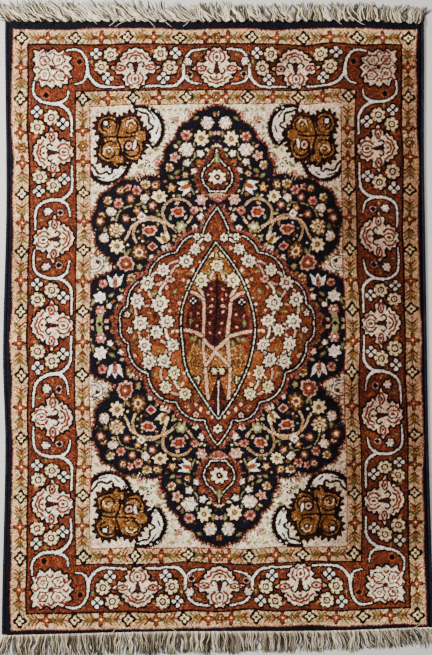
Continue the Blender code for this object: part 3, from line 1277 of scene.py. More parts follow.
# Loosely beaten rows carry the pattern down: middle, reach and how far, in knots
looseRows = (
    {"middle": (0, -95), "reach": (320, 60), "down": 6.0},
    {"middle": (-180, 165), "reach": (130, 85), "down": 4.0},
)
# Painted shade: the pile's colours darken towards the right, fading out near both ends; in metres across and
# along
paintedRightShade = {
    "across": (0.03, 0.12, 0.16, 0.26, 0.30),
    "shadeDepth": (0.0, 0.55, 0.8, 0.85, 1.0),
    "along": (-0.37, -0.33, 0.40, 0.43),
    "uneven": 0.16,
    "cell": 40,
    "loss": (0.58, 0.66, 0.66),
}
chance = np.random.default_rng(pile["seed"])


def softNoise(rows, columns, cell):
    # smooth random field, about a cell from bump to bump
    coarse = chance.standard_normal((int(rows / cell) + 3, int(columns / cell) + 3))
    r = np.linspace(0, coarse.shape[0] - 2.001, rows)
    c = np.linspace(0, coarse.shape[1] - 2.001, columns)
    ri, ci = r.astype(int), c.astype(int)
    rf, cf = (r - ri)[:, None], (c - ci)[None, :]
    rf, cf = rf * rf * (3 - 2 * rf), cf * cf * (3 - 2 * cf)
    a = coarse[np.ix_(ri, ci)] * (1 - cf) + coarse[np.ix_(ri, ci + 1)] * cf
    b = coarse[np.ix_(ri + 1, ci)] * (1 - cf) + coarse[np.ix_(ri + 1, ci + 1)] * cf
    return a * (1 - rf) + b * rf


def drift(x, y):
    # how far down the woven pattern lies from its chart, in knots
    down = 0 * x
    for row in looseRows:
        (middleX, middleY), (reachX, reachY) = row["middle"], row["reach"]
        down = down + row["down"] * np.exp(-((x - middleX) / reachX) ** 2 - ((y - middleY) / reachY) ** 2)
    return down


def knotNumbers(places):
    # the yarns at each knot's corners; the design half follows the uneven edges and drifts by hand
    rows, columns = pile["along"], pile["across"]
    x = np.arange(columns)[None, :] - columns / 2 + 0.5
    y = np.arange(rows)[:, None] - rows / 2 + 0.5
    x = (x + places[:, :, 0] / chart["knot"]) / 2 - chart["shift"][0]
    y = (y + places[:, :, 1] / chart["knot"]) / 2 - chart["shift"][1]
    down = drift(x, y)
    x = x + chart["wander"] * softNoise(rows, columns, pile["wanderAcross"])
    y = y + down + chart["wander"] * softNoise(rows, columns, pile["wanderAlong"])
    x = x + pile["ragged"] * chance.standard_normal(x.shape)
    y = y + pile["ragged"] * chance.standard_normal(x.shape)
    quarter = 0.25  # of a knot, from its middle to the middles of its four quarters
    x = x[:, :, None] + quarter * np.array([-1, 1, 1, -1])
    y = y[:, :, None] + quarter * np.array([-1, -1, 1, 1])
    c = np.clip(np.floor(x * chart["fine"] + halfWide).astype(int), 0, 2 * halfWide - 1)
    r = np.clip(np.floor(y * chart["fine"] + halfTall).astype(int), 0, 2 * halfTall - 1)
    return mixSkeins(picture[r, c])


def mixSkeins(numbers):
    # stray knots of a neighbouring dye
    lots = chance.random(numbers.shape[:2])[:, :, None]
    picks = chance.random(numbers.shape[:2])[:, :, None]
    out = numbers.copy()
    for yarn, (share, others) in skeins.items():
        for k, other in enumerate(others):
            swapped = (numbers == yarnNumber[yarn]) & (lots < share)
            swapped &= (picks * len(others)).astype(int) == k
            out[swapped] = yarnNumber[other]
    return out


def linear(colour):
    c = np.array(colour, float) / 255
    return np.where(c <= 0.04045, c / 12.92, ((c + 0.055) / 1.055) ** 2.4)


def knotColours(numbers, places):
    rows, columns = numbers.shape[:2]
    dyes = np.array([linear(c) for c in yarns.values()])
    colours = dyes[numbers]
    # knot-to-knot tone, part dye and part painted shade between tufts, with painted shadow on some knots
    spread = chance.standard_normal((rows, columns))
    shade = pile["dye"] * spread + pile["tuft"] * softNoise(rows, columns, pile["tuftCell"])
    shade = shade + pile["abrash"] * softNoise(rows, 2, pile["abrashCell"]).mean(1)[:, None]
    shade = shade + pile["cloud"] * softNoise(rows, columns, pile["cloudCell"])
    shadowPits = chance.random((rows, columns)) < pile["shadowPits"]
    shade = np.exp(shade - pile["dim"]) * np.where(shadowPits, pile["pitShadowTone"], 1)
    colours = colours * np.clip(shade, *pile["toneRange"])[:, :, None, None]
    # painted shade: the pile's colours darken towards the right, unevenly
    x, y = places[:, :, 0], places[:, :, 1]
    shadeDepth = np.interp(x, paintedRightShade["across"], paintedRightShade["shadeDepth"])
    shadeDepth = shadeDepth + paintedRightShade["uneven"] * softNoise(rows, columns, paintedRightShade["cell"])
    shadeDepth = np.clip(shadeDepth, 0, 1) * np.interp(y, paintedRightShade["along"], (0, 1, 1, 0))
    colours = colours * (1 - shadeDepth[:, :, None, None] * np.array(paintedRightShade["loss"]))
    return np.clip(colours, 0, 1)


def pileCorners():
    # the corners of the knots, laid between the rug's uneven edges
    rows, columns = pile["along"], pile["across"]
    u = np.linspace(0, 1, columns + 1)[None, :]
    v = np.linspace(0, 1, rows + 1)[:, None]
    y = edges["bottom"] + (edges["top"] - edges["bottom"]) * v + 0 * u
    left, right = edgeAt("left", y), edgeAt("right", y)
    x = left + (right - left) * u
    near, far = edgeAt("near", x), edgeAt("far", x)
    y = near + (far - near) * v
    loose = np.minimum(np.minimum(u, 1 - u) * columns, np.minimum(v, 1 - v) * rows)
    free = np.clip(loose, 0, 1)
    x = x + pile["stray"] * free * chance.standard_normal(x.shape)
    y = y + pile["stray"] * free * chance.standard_normal(x.shape)
    relief = pile["reliefSpread"] * chance.standard_normal(x.shape) - pile["reliefDrop"]
    z = pile["top"] + pile["relief"] * relief
    z = z + pile["swell"] * softNoise(rows + 1, columns + 1, pile["swellCell"])
    z = np.minimum(z, pile["highest"])
    z = z - pile["rimDrop"] * np.clip(1 - loose / pile["rimKnots"], 0, 1) ** 2
    return np.stack([x, y, z], axis=-1)


corners = pileCorners()
middles = (corners[1:, 1:] + corners[:-1, 1:] + corners[1:, :-1] + corners[:-1, :-1]) / 4
colours = knotColours(knotNumbers(middles), middles)


def addMesh(name, points, faces, cornerColours):
    mesh = bpy.data.meshes.new(name)
    mesh.from_pydata(points, [], faces)
    mesh.update()
    layer = mesh.color_attributes.new("yarnColour", "FLOAT_COLOR", "CORNER")
    rgba = np.ones((len(cornerColours), 4), np.float32)
    rgba[:, :3] = cornerColours
    layer.data.foreach_set("color", rgba.ravel())
    mesh.shade_smooth()
    obj = bpy.data.objects.new(name, mesh)
    bpy.context.collection.objects.link(obj)
    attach(obj, "root")
    return obj


def loopOf(r0, r1, c0, c1):
    # grid corners round a block of knots, counter-clockwise from above
    out = [(r0, c) for c in range(c0, c1)]
    out += [(r, c1) for r in range(r0, r1)]
    out += [(r1, c) for c in range(c1, c0, -1)]
    out += [(r, c0) for r in range(r1, r0, -1)]
    return out


def fillLoops(points, loops, up):
    # flat faces that close the loops, looking up or down
    flatLoops = [[Vector((points[k][0], points[k][1], 0)) for k in loop] for loop in loops]
    order = [k for loop in loops for k in loop]
    out = []
    for corner in tessellate_polygon(flatLoops):
        p, q, r = (order[k] for k in corner)
        ax, ay = points[p][:2]
        turn = (points[q][0] - ax) * (points[r][1] - ay) - (points[r][0] - ax) * (points[q][1] - ay)
        out.append([p, q, r] if (turn > 0) == up else [p, r, q])
    return out


def pileBlock(name, outer, hole=None):
    # a closed block of pile: knots on top, cut sides, a flat underside
    r0, r1, c0, c1 = outer
    inside = np.zeros((pile["along"], pile["across"]), bool)
    inside[r0:r1, c0:c1] = True
    if hole:
        inside[hole[0]:hole[1], hole[2]:hole[3]] = False
    rows, columns = np.nonzero(inside)
    wide = pile["across"] + 1
    a = rows * wide + columns
    quads = np.stack([a, a + 1, a + 1 + wide, a + wide], axis=1)
    used, flat = np.unique(quads, return_inverse=True)
    place = {int(g): k for k, g in enumerate(used)}
    points = corners.reshape(-1, 3)[used].tolist()
    faces = flat.reshape(quads.shape).tolist()
    cornerColours = [colours[rows, columns].reshape(-1, 3)]
    loops = [loopOf(*outer)]
    if hole:
        loops.append(list(reversed(loopOf(*hole))))
    under = []
    for loop in loops:
        ring = [place[r * wide + c] for r, c in loop]
        low = list(range(len(points), len(points) + len(ring)))
        points += [points[k][:2] + [pile["under"]] for k in ring]
        under.append(low)
        for k in range(len(ring)):
            n = (k + 1) % len(ring)
            faces.append([ring[n], ring[k], low[k], low[n]])
        # the cut sides take their knots' colours, darkened as painted shade
        rc = np.array(loop)
        sides = colours[np.clip(rc[:, 0], r0, r1 - 1), np.clip(rc[:, 1], c0, c1 - 1), 0]
        cornerColours.append(np.repeat(sides * pile["cutSideShade"], 4, axis=0))
    fill = fillLoops(points, under, False)
    faces += fill
    cornerColours.append(np.tile(linear(yarns["sand"]), (3 * len(fill), 1)))
    obj = addMesh(name, points, faces, np.concatenate(cornerColours))
    addBakeMap(obj, 3 * len(fill))
    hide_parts("knotted_pile")
    return obj


# The pile's map, seen from above: where the pile starts, its span, and the hidden underside's
bakeMap = {"start": 0.03, "span": 0.965, "hidden": 0.02}


def addBakeMap(obj, hidden):
    # the hidden underside's corners are kept small in one corner of the map
    uv = obj.data.uv_layers.new(name="OFBake")
    co = np.zeros(len(obj.data.vertices) * 3, np.float32)
    obj.data.vertices.foreach_get("co", co)
    co = co.reshape(-1, 3)
    corner = np.zeros(len(obj.data.loops), np.int32)
    obj.data.loops.foreach_get("vertex_index", corner)
    lo, hi = co.min(0), co.max(0)
    spread = (co[corner, :2] - lo[:2]) / max(hi[0] - lo[0], hi[1] - lo[1])
    spread[:-hidden] = bakeMap["start"] + spread[:-hidden] * bakeMap["span"]
    spread[-hidden:] *= bakeMap["hidden"]
    uv.data.foreach_set("uv", spread.ravel())


pieces = {}
insideBorder = (26, 578, 20, 392)  # rows and columns where the main border starts
insideGuard = (68, 533, 66, 346)
insideField = (81, 520, 80, 332)
middleRow = 300
pieces["pileEdge"] = pileBlock("pile_outer_guard", (0, pile["along"], 0, pile["across"]), insideBorder)
pieces["pileBorder"] = pileBlock("pile_main_border", insideBorder, insideGuard)
pieces["pileGuard"] = pileBlock("pile_inner_guard", insideGuard, insideField)
pieces["fieldNear"] = pileBlock("pile_field_near", (insideField[0], middleRow) + insideField[2:])
pieces["fieldFar"] = pileBlock("pile_field_far", (middleRow,) + insideField[1:])
print("stage: pile")

# Woven back: the knots' backs show the pattern, two by two
back = {
    "rows": 303,
    "columns": 206,
    "ridge": 0.00012,
    "rim": 0.0003,
    "top": 0.0012,
    "tone": 0.86,  # the backs are a little duller and paler than the pile
    "paler": 0.03,
}


def wovenBack():
    rows, columns = back["rows"], back["columns"]
    grid = corners[::2, ::2].copy()
    z = back["ridge"] * (0.5 + 0.5 * chance.random(grid.shape[:2]))
    z[[0, -1], :] = back["rim"]
    z[:, [0, -1]] = back["rim"]
    grid[:, :, 2] = z
    points = grid.reshape(-1, 3).tolist()
    wide = columns + 1
    r, c = np.mgrid[0:rows, 0:columns]
    a = (r * wide + c).ravel()
    faces = np.stack([a, a + wide, a + 1 + wide, a + 1], axis=1).tolist()
    # the backs take the pile's colours, painted shade included
    shown = colours[1::2, 1::2, 0].reshape(-1, 3) * back["tone"] + back["paler"]
    loop = [row * wide + column for row, column in loopOf(0, rows, 0, columns)]
    high = list(range(len(points), len(points) + len(loop)))
    points += [points[k][:2] + [back["top"]] for k in loop]
    for k in range(len(loop)):
        n = (k + 1) % len(loop)
        faces.append([loop[k], loop[n], high[n], high[k]])
    fill = fillLoops(points, [high], True)
    faces += fill
    plain = np.tile(linear(yarns["sand"]), (4 * len(loop) + 3 * len(fill), 1))
    cornerColours = np.concatenate([np.repeat(shown, 4, axis=0), plain])
    obj = addMesh("woven_back", points, faces, cornerColours)
    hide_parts("knotted_pile")
    return obj


pieces["back"] = wovenBack()
print("stage: back")

# Side cords: warps wrapped in navy wool, one wrap modelled and repeated
sideCord = {
    "wide": 0.0055,
    "high": 0.0046,
    "crown": 0.0002,  # how far a wrap may stand higher
    "pitch": 0.0018,
    "bulge": 1.10,
    "sides": 12,
    "slant": 0.0006,
    "endGap": 0.0006,
    "sideGap": 0.0001,
    "floorGap": 0.00005,
    "merge": 0.00005,
    "flatAt": 0.42,  # how far below its middle the round wrap is cut flat, as a share of its width
    "waves": ((0.03, 917), (0.02, 2311)),  # share by which it swells, and radians in a metre
}


def wrappedTube(start, pitch, wraps):
    # one wrap as an open tube that bulges at its middle, repeated, then closed at both ends
    middle = (0, start + pitch / 2, 0)
    grow = sideCord["bulge"]
    bpy.ops.object.select_all(action="DESELECT")
    bpy.ops.mesh.primitive_cylinder_add(
        vertices=sideCord["sides"],
        radius=0.5,
        depth=pitch,
        end_fill_type="NOTHING",
        location=middle,
        rotation=(math.pi / 2, 0, 0),
    )
    obj = bpy.context.object
    bpy.ops.object.transform_apply(location=True, rotation=True, scale=True)
    bpy.ops.object.mode_set(mode="EDIT")
    bpy.ops.mesh.select_all(action="SELECT")
    bpy.ops.mesh.bisect(plane_co=middle, plane_no=(0, 1, 0))
    bpy.ops.transform.resize(value=(grow, 1, grow), center_override=middle)
    bpy.ops.object.mode_set(mode="OBJECT")
    rows = obj.modifiers.new("wraps", "ARRAY")
    rows.count = wraps
    rows.use_relative_offset = False
    rows.use_constant_offset = True
    rows.constant_offset_displace = (0, pitch, 0)
    rows.use_merge_vertices = True
    rows.merge_threshold = sideCord["merge"]
    bpy.ops.object.modifier_apply(modifier="wraps")
    bpy.ops.object.mode_set(mode="EDIT")
    bpy.ops.mesh.select_all(action="DESELECT")
    bpy.ops.mesh.select_mode(type="EDGE")
    bpy.ops.mesh.select_non_manifold()
    bpy.ops.mesh.edge_face_add()
    bpy.ops.mesh.select_all(action="SELECT")
    bpy.ops.mesh.normals_make_consistent(inside=False)
    bpy.ops.object.mode_set(mode="OBJECT")
    return obj


def addSideCord(side, sign):
    start, end = edges["bottom"] + sideCord["endGap"], edges["top"] - sideCord["endGap"]
    wraps = int((end - start) / sideCord["pitch"])
    obj = wrappedTube(start, (end - start) / wraps, wraps)
    # laid along the rug's edge, flat where it touches the floor, wraps a little slanted
    half = sideCord["wide"] / 2 / sideCord["bulge"]
    tall = sideCord["high"] / sideCord["bulge"]
    for vertex in obj.data.vertices:
        x, y, z = vertex.co
        wave = 1.0
        for swells, pace in sideCord["waves"]:
            wave = wave + swells * math.sin(y * pace)
        edge = float(edgeAt(side, y))
        up = max(0.0, (z + sideCord["flatAt"]) * tall * wave)
        vertex.co = (
            edge + sign * (sideCord["wide"] / 2 + sideCord["sideGap"]) + x * 2 * half * wave,
            y + sideCord["slant"] * x * 2,
            min(up, sideCord["high"] + sideCord["crown"]) + sideCord["floorGap"],
        )
    obj.name = "side_cord_wrapped_" + side
    obj.data.name = obj.name
    bpy.ops.object.shade_smooth()
    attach(obj, "root")
    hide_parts("side_cord_" + side)
    return obj


pieces["cordLeft"] = addSideCord("left", -1)
pieces["cordRight"] = addSideCord("right", 1)
print("stage: side cords")

# Fringes: the cut warps, in clumps, lying on the floor
fringes = {
    "far": {
        "node": "fringe_far",
        "sign": 1,
        "yarns": 1400,
        "clump": 0.0120,
        "gather": 0.70,
        "wave": 0.0021,
        "strays": 9,
        "loose": 0.68,
        # root: a painted highlight where the yarns leave the pile, none at this end
        "root": 0.0,
        "overlap": 0.0045,
        "lift": 0.0042,
        # painted light: this end's yarns are painted brighter overall than the near end's
        "tone": 1.25,
        "seed": 5,
        "rows": (
            {"share": 0.00, "lean": -50.0, "length": 0.041},
            {"share": 0.12, "lean": -48.0, "length": 0.042},
            {"share": 0.30, "lean": -45.0, "length": 0.039},
            {"share": 0.40, "lean": -50.0, "length": 0.033},
            {"share": 0.48, "lean": -36.0, "length": 0.034},
            {"share": 0.60, "lean": -24.0, "length": 0.032},
            {"share": 0.78, "lean": -9.0, "length": 0.029},
            {"share": 0.92, "lean": 0.0, "length": 0.029},
            {"share": 0.97, "lean": 14.0, "length": 0.030},
            {"share": 1.00, "lean": 30.0, "length": 0.031},
        ),
    },
    "near": {
        "node": "fringe_near",
        "sign": -1,
        "yarns": 1400,
        "clump": 0.0062,
        "gather": 0.72,
        "wave": 0.0017,
        "strays": 3,
        "loose": 0.66,
        # root: a painted highlight where the yarns leave the pile
        "root": 0.7,
        "overlap": 0.0,
        "lift": 0.0011,
        # painted shade and dirt: this end's yarns are painted darker overall
        "tone": 0.64,
        "seed": 6,
        "rows": (
            {"share": 0.00, "lean": -16.0, "length": 0.036},
            {"share": 0.06, "lean": -5.0, "length": 0.036},
            {"share": 0.22, "lean": 2.0, "length": 0.035},
            {"share": 0.38, "lean": -3.0, "length": 0.034},
            {"share": 0.55, "lean": 3.0, "length": 0.034},
            {"share": 0.74, "lean": 8.0, "length": 0.033},
            {"share": 0.85, "lean": 20.0, "length": 0.032},
            {"share": 0.95, "lean": 27.0, "length": 0.032},
            {"share": 1.00, "lean": 32.0, "length": 0.032},
        ),
    },
}
yarnShape = {
    "steps": 10,
    "sides": 3,
    "radius": 0.00050,
    "uneven": (0.85, 0.35),  # least share of the radius, and how much more it may be
    "tip": 0.45,
    "layer": 0.0026,
    "ground": 0.9,  # radii from the floor to the lowest yarns' middle
    "floorGap": 0.00002,
}
# Locks of yarn: most numbers are spreads between the locks or between the yarns in one
lock = {
    "past": 0.003,
    "rootStray": 0.0003,
    "mixed": 0.12,
    "offMiddle": 0.12,
    "lean": 8.0,
    "yarnLean": 5.0,
    "looseLean": 6.0,
    "long": 0.06,
    "shorter": 0.12,
    "looseLevel": 0.05,
    "level": (0.25, 0.45, 0.3),  # lowest, more in a lock's middle, more from lock to lock
    "phase": 0.35,
    "turns": (6.0, 12.0),  # radians of the two waves along a yarn
    "slack": 0.06,
}
# Loose ends that curl back over the pile's edge
looseEnd = {
    "inset": 0.02,
    "size": (0.6, 1.5),
    "reach": 0.026,
    "rise": 0.004,
    "fall": 0.0065,
    "wave": 0.0010,
    "height": 0.0035,
    "arch": 0.0028,
}
# Painted light and shade on the yarns: locks painted lit, the yarns under them painted dark as shade and
# dirt, each yarn painted darker towards its ends, and at one end a painted highlight at the root
warpPaintedLight = {
    "colour": (244, 230, 204),
    "warmth": (1.0, 1.06, 1.18),  # powers of the shade in red, green and blue
    # painted shade, with some dirt, on the loose yarns under the locks
    "loose": 0.06,
    # painted light: a lock's yarns are brighter the higher they lie
    "low": 0.20,
    "high": 0.80,
    "yarnSpread": 0.85,
    "lockSpread": 0.3,
    # painted shade towards each yarn's two ends
    "ends": 0.80,
    "middle": 0.26,
    "range": (0.04, 1.15),
}


def tubes(paths, radii, sides):
    # closed tubes round many paths of equally many points
    count, steps, _ = paths.shape
    way = np.gradient(paths, axis=1)
    way /= np.linalg.norm(way, axis=2, keepdims=True)
    side = np.cross(way, [0, 0, 1.0])
    side /= np.linalg.norm(side, axis=2, keepdims=True)
    up = np.cross(side, way)
    angles = np.radians(90 + 360 * np.arange(sides) / sides)
    ring = side[:, :, None] * np.cos(angles)[:, None] + up[:, :, None] * np.sin(angles)[:, None]
    points = (paths[:, :, None] + ring * radii[:, :, None, None]).reshape(-1, 3)
    base = (np.arange(count) * steps * sides)[:, None, None]
    step = (np.arange(steps - 1) * sides)[None, :, None]
    k = np.arange(sides)[None, None, :]
    n = (k + 1) % sides
    a, b = base + step + k, base + step + n
    quads = np.stack([a, b, b + sides, a + sides], axis=-1).reshape(-1, 4)
    first = (base[:, 0] + np.arange(sides)[::-1]).reshape(-1, sides)
    last = (base[:, 0] + (steps - 1) * sides + np.arange(sides)).reshape(-1, sides)
    return points, quads.tolist() + first.tolist() + last.tolist()


def looseEndPaths(name, plan, draw):
    count = plan["strays"]
    xs = edges[name][0]
    root = draw.uniform(xs[0] + looseEnd["inset"], xs[-1] - looseEnd["inset"], count)[:, None]
    size = draw.uniform(*looseEnd["size"], count)[:, None]
    way = draw.choice([-1, 1], count)[:, None]
    t = np.linspace(0, 1, yarnShape["steps"])[None, :]
    bend = looseEnd["rise"] * np.sin(np.pi * t * 1.2) - looseEnd["fall"] * t
    x = root + way * size * looseEnd["reach"] * t ** 1.2
    x = x + looseEnd["wave"] * np.sin(7 * t + root * 900)
    out = size * bend + looseEnd["wave"] * np.sin(9 * t + root * 500)
    y = edgeAt(name, root) + plan["sign"] * out
    z = looseEnd["height"] + looseEnd["arch"] * np.sin(np.pi * np.minimum(t * 1.4, 0.62)) + 0 * x
    return np.stack([x, y, z], axis=-1)


def gatherLocks(name, plan, draw):
    # each yarn's root, lean and length, the lock that it lies in and how high it lies there
    count = plan["yarns"]
    xs = edges[name][0]
    low, high = xs[0] - lock["past"], xs[-1] + lock["past"]
    root = np.linspace(low, high, count) + lock["rootStray"] * draw.standard_normal(count)
    share = (root - low) / (high - low)
    shares = [row["share"] for row in plan["rows"]]
    lean = np.interp(share, shares, [row["lean"] for row in plan["rows"]])
    long = np.interp(share, shares, [row["length"] for row in plan["rows"]])
    wide = plan["clump"]
    number = np.floor((root - low) / wide + lock["mixed"] * draw.standard_normal(count)).astype(int)
    number = np.clip(number, 0, number.max())
    locks = number.max() + 1
    centre = low + (number + 0.5) * wide
    centre = centre + lock["offMiddle"] * wide * draw.standard_normal(locks)[number]
    loose = draw.random(count) < plan["loose"]  # yarns that lie low, outside the locks
    lean = lean + lock["lean"] * draw.standard_normal(locks)[number]
    lean = lean + (lock["yarnLean"] + lock["looseLean"] * loose) * draw.standard_normal(count)
    uneven = lock["long"] * draw.standard_normal(locks)[number]
    long = long * (1 + uneven - lock["shorter"] * draw.random(count))
    middle = np.clip(1 - (np.abs(root - centre) / (0.5 * wide)) ** 2, 0, 1)
    lowest, inMiddle, byLock = lock["level"]
    level = lowest + inMiddle * middle + byLock * draw.random(locks)[number]
    return {
        "root": root,
        "lean": lean,
        "long": long,
        "number": number,
        "locks": locks,
        "centre": centre,
        "loose": loose,
        "middle": middle,
        "level": np.where(loose, lock["looseLevel"], level),
    }


def warpPaths(name, plan, warps, draw):
    # each yarn leaves the pile's edge, sways, draws in to its lock and comes down on the floor
    count = plan["yarns"]
    root, loose, middle = warps["root"][:, None], warps["loose"], warps["middle"][:, None]
    t = np.linspace(0, 1, yarnShape["steps"])[None, :]
    angle = np.radians(warps["lean"])[:, None]
    phase = 2 * np.pi * draw.random((warps["locks"], 2))[warps["number"]]
    phase = phase + lock["phase"] * draw.standard_normal((count, 2))
    long, short = lock["turns"]
    sway = np.sin(phase[:, :1] + t * long) + 0.5 * np.sin(phase[:, 1:] + t * short)
    sway = plan["wave"] * (sway - sway[:, :1]) * np.sqrt(t)
    slack = lock["slack"] * np.sin(np.pi * t) * draw.random((count, 1))
    reach = warps["long"][:, None] * (t - slack)
    gather = (warps["centre"][:, None] - root) * np.where(loose, 0.0, plan["gather"])[:, None] * t ** 0.8
    x = root + np.sin(angle) * reach + np.cos(angle) * sway + gather
    edge = edgeAt(name, root) - plan["sign"] * plan["overlap"] * middle
    y = edge + plan["sign"] * np.cos(angle) * reach - plan["sign"] * np.sin(angle) * sway
    z = yarnShape["radius"] * yarnShape["ground"]
    z = z + (plan["lift"] + yarnShape["layer"] * 0.4) * (1 - t) ** 3
    z = z + yarnShape["layer"] * warps["level"][:, None] * np.clip(1.15 - t, 0.15, 1) ** 0.6
    return np.stack([x, y, z], axis=-1)


def warpColours(plan, warps, draw):
    # one colour for each stretch of each yarn, then its two ends' caps
    sides = yarnShape["sides"]
    level, loose = warps["level"], warps["loose"]
    # painted light and shade: dark loose yarns, lock yarns brighter the higher they lie, darker ends and a
    # painted highlight at the root
    tone = np.where(loose, warpPaintedLight["loose"], warpPaintedLight["low"] + warpPaintedLight["high"] * level)
    tone = tone * np.exp(warpPaintedLight["yarnSpread"] * draw.standard_normal(len(level)))
    byLock = np.exp(warpPaintedLight["lockSpread"] * draw.standard_normal(warps["locks"]))
    tone = tone * byLock[warps["number"]]
    tone = plan["tone"] * np.concatenate([tone, np.ones(plan["strays"])])
    along = np.repeat(np.linspace(0, 1, yarnShape["steps"] - 1), sides)
    endShade = warpPaintedLight["ends"] + warpPaintedLight["middle"] * np.sin(np.pi * np.clip(along * 0.9 + 0.05, 0, 1))
    shade = tone[:, None] * endShade + plan["root"] * (1 - along) ** 8
    shade = np.clip(shade, *warpPaintedLight["range"])[:, :, None]
    body = linear(warpPaintedLight["colour"]) * shade ** warpPaintedLight["warmth"]
    caps = np.repeat(body[:, -1], sides, axis=0)
    return np.clip(np.concatenate([np.repeat(body.reshape(-1, 3), 4, axis=0), caps, caps]), 0, 1)


def addFringe(name, plan):
    draw = np.random.default_rng(plan["seed"])
    warps = gatherLocks(name, plan, draw)
    paths = warpPaths(name, plan, warps, draw)
    paths = np.concatenate([paths, looseEndPaths(name, plan, draw)])
    least, more = yarnShape["uneven"]
    radius = yarnShape["radius"] * (least + more * draw.random((len(paths), 1)))
    t = np.linspace(0, 1, yarnShape["steps"])[None, :]
    radii = radius * (1 - (1 - yarnShape["tip"]) * t ** 5)
    points, faces = tubes(paths, radii, yarnShape["sides"])
    points[:, 2] = np.maximum(points[:, 2], yarnShape["floorGap"])
    colours = warpColours(plan, warps, draw)
    obj = addMesh("warp_yarns_" + name, points.tolist(), faces, colours)
    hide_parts(plan["node"])
    return obj


for name, plan in fringes.items():
    pieces["fringe" + name.title()] = addFringe(name, plan)
print("stage: fringes")

# Materials
finish = {
    "pile": {
        "name": "cut_silk_pile",
        "roughness": 0.80,
        "sheen": 0.0,
        "sheenRoughness": 0.35,
        "grain": 1300,
        "stretch": (1, 1, 1),
        "bump": 0.35,
        "depth": 0.0006,
    },
    "back": {
        "name": "knot_backs",
        "roughness": 0.85,
        "sheen": 0.0,
        "sheenRoughness": 0.5,
        "grain": 700,
        "stretch": (1, 2, 1),
        "bump": 0.5,
        "depth": 0.0004,
    },
    "wool": {
        "name": "navy_wool_wrap",
        "roughness": 0.9,
        "sheen": 0.0,
        "sheenRoughness": 0.5,
        "grain": 1500,
        "stretch": (1, 0.5, 1),
        "bump": 0.5,
        "depth": 0.0004,
        "dye": (0.007, 0.007, 0.012, 1),
        "fibreTones": (0.6, 1.7),
        "patches": 60,
        "patchTones": (0.7, 1.6),
    },
    "cotton": {
        "name": "cotton_warp",
        "roughness": 0.9,
        "sheen": 0.02,
        "sheenRoughness": 0.5,
        "grain": 2200,
        "stretch": (1, 0.4, 1),
        "bump": 0.4,
        "depth": 0.0003,
    },
}
# What a yarn has where its own finish gives no other
plainYarn = {"specular": 0.05, "fibreTones": (0.74, 1.20), "patches": 14, "patchTones": (0.93, 1.06)}


def noise(nodes, links, scale, detail, stretch=(1, 1, 1)):
    coordinates = nodes.new("ShaderNodeTexCoord")
    mapping = nodes.new("ShaderNodeMapping")
    mapping.inputs["Scale"].default_value = stretch
    texture = nodes.new("ShaderNodeTexNoise")
    texture.inputs["Scale"].default_value = scale
    texture.inputs["Detail"].default_value = detail
    links.new(coordinates.outputs["Object"], mapping.inputs["Vector"])
    links.new(mapping.outputs["Vector"], texture.inputs["Vector"])
    return texture.outputs["Fac"]


def tinted(nodes, links, colour, factor, low, high):
    # the colour, darker and lighter by a pattern
    spread = nodes.new("ShaderNodeMapRange")
    spread.inputs["From Min"].default_value = 0.3
    spread.inputs["From Max"].default_value = 0.7
    spread.inputs["To Min"].default_value = low
    spread.inputs["To Max"].default_value = high
    scale = nodes.new("ShaderNodeVectorMath")
    scale.operation = "SCALE"
    links.new(factor, spread.inputs["Value"])
    links.new(colour, scale.inputs[0])
    links.new(spread.outputs["Result"], scale.inputs["Scale"])
    return scale.outputs["Vector"]


def bump(nodes, links, shader, height, strength, distance):
    node = nodes.new("ShaderNodeBump")
    node.inputs["Strength"].default_value = strength
    node.inputs["Distance"].default_value = distance
    links.new(height, node.inputs["Height"])
    links.new(node.outputs["Normal"], shader.inputs["Normal"])


def yarnMaterial(own):
    # one dye, or the dyes at the piece's corners, streaked by fibres and wider patches
    look = {**plainYarn, **own}
    material = bpy.data.materials.new(look["name"])
    material.use_nodes = True
    nodes, links = material.node_tree.nodes, material.node_tree.links
    shader = nodes["Principled BSDF"]
    shader.inputs["Roughness"].default_value = look["roughness"]
    shader.inputs["Sheen Weight"].default_value = look["sheen"]
    shader.inputs["Sheen Roughness"].default_value = look["sheenRoughness"]
    shader.inputs["Specular IOR Level"].default_value = look["specular"]
    if "dye" in look:
        source = nodes.new("ShaderNodeRGB")
        source.outputs["Color"].default_value = look["dye"]
    else:
        source = nodes.new("ShaderNodeAttribute")
        source.attribute_name = "yarnColour"
    fibres = noise(nodes, links, look["grain"], 3, look["stretch"])
    patches = noise(nodes, links, look["patches"], 2)
    colour = tinted(nodes, links, source.outputs["Color"], fibres, *look["fibreTones"])
    colour = tinted(nodes, links, colour, patches, *look["patchTones"])
    links.new(colour, shader.inputs["Base Color"])
    bump(nodes, links, shader, fibres, look["bump"], look["depth"])
    return material


def setMaterial(obj, material):
    obj.data.materials.clear()
    obj.data.materials.append(material)


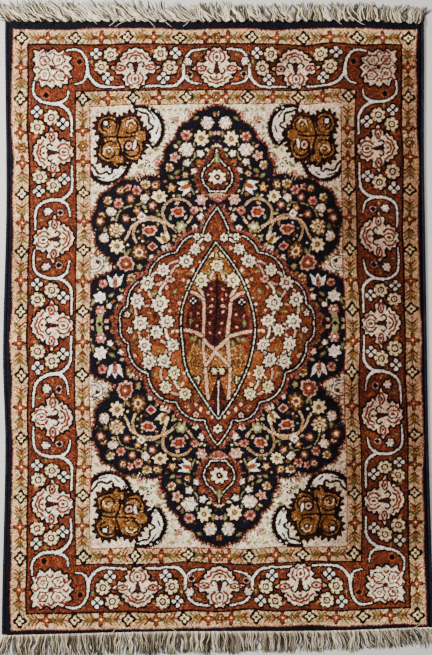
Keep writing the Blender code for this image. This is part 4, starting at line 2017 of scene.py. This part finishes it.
finishOf = {
    "pile": ("pileEdge", "pileBorder", "pileGuard", "fieldNear", "fieldFar"),
    "back": ("back",),
    "wool": ("cordLeft", "cordRight"),
    "cotton": ("fringeFar", "fringeNear"),
}
for name, keys in finishOf.items():
    material = yarnMaterial(finish[name])
    for key in keys:
        setMaterial(pieces[key], material)
print("stage: materials")

# Floor and studio light
studio = {
    "floorSize": 8.0,
    "floorZ": -0.0002,
    "floorColour": (0.62, 0.61, 0.59, 1),
    "floorRoughness": 0.9,
    "world": 0.46,
    "lightColour": (1, 0.95, 0.88),
    "lamps": (
        {"name": "keyLight", "place": (-1.25, 0.55, 1.05), "size": 0.55, "power": 70},
        {"name": "fillLight", "place": (1.2, -0.8, 1.8), "size": 1.6, "power": 14},
    ),
}


def addFloor():
    bpy.ops.object.select_all(action="DESELECT")
    bpy.ops.mesh.primitive_plane_add(size=studio["floorSize"], location=(0, 0, 0))
    floor = bpy.context.object
    floor.name = "studio_floor"
    floor.data.transform(Matrix.Translation((0, 0, studio["floorZ"])))
    material = bpy.data.materials.new("studio_floor")
    material.use_nodes = True
    shader = material.node_tree.nodes["Principled BSDF"]
    shader.inputs["Base Color"].default_value = studio["floorColour"]
    shader.inputs["Roughness"].default_value = studio["floorRoughness"]
    floor.data.materials.append(material)


def addLight(lamp):
    # a square soft light that looks at the rug's middle
    data = bpy.data.lights.new(lamp["name"], "AREA")
    data.shape = "SQUARE"
    data.size = lamp["size"]
    data.energy = lamp["power"]
    data.color = studio["lightColour"]
    light = bpy.data.objects.new(lamp["name"], data)
    bpy.context.collection.objects.link(light)
    light.location = lamp["place"]
    light.rotation_mode = "QUATERNION"
    light.rotation_quaternion = (-Vector(lamp["place"])).to_track_quat("-Z", "Y")


addFloor()
for lamp in studio["lamps"]:
    addLight(lamp)
world = bpy.data.worlds.new("studio")
bpy.context.scene.world = world
world.use_nodes = True
world.node_tree.nodes["Background"].inputs["Color"].default_value = (1, 1, 1, 1)
world.node_tree.nodes["Background"].inputs["Strength"].default_value = studio["world"]
print("stage: studio")
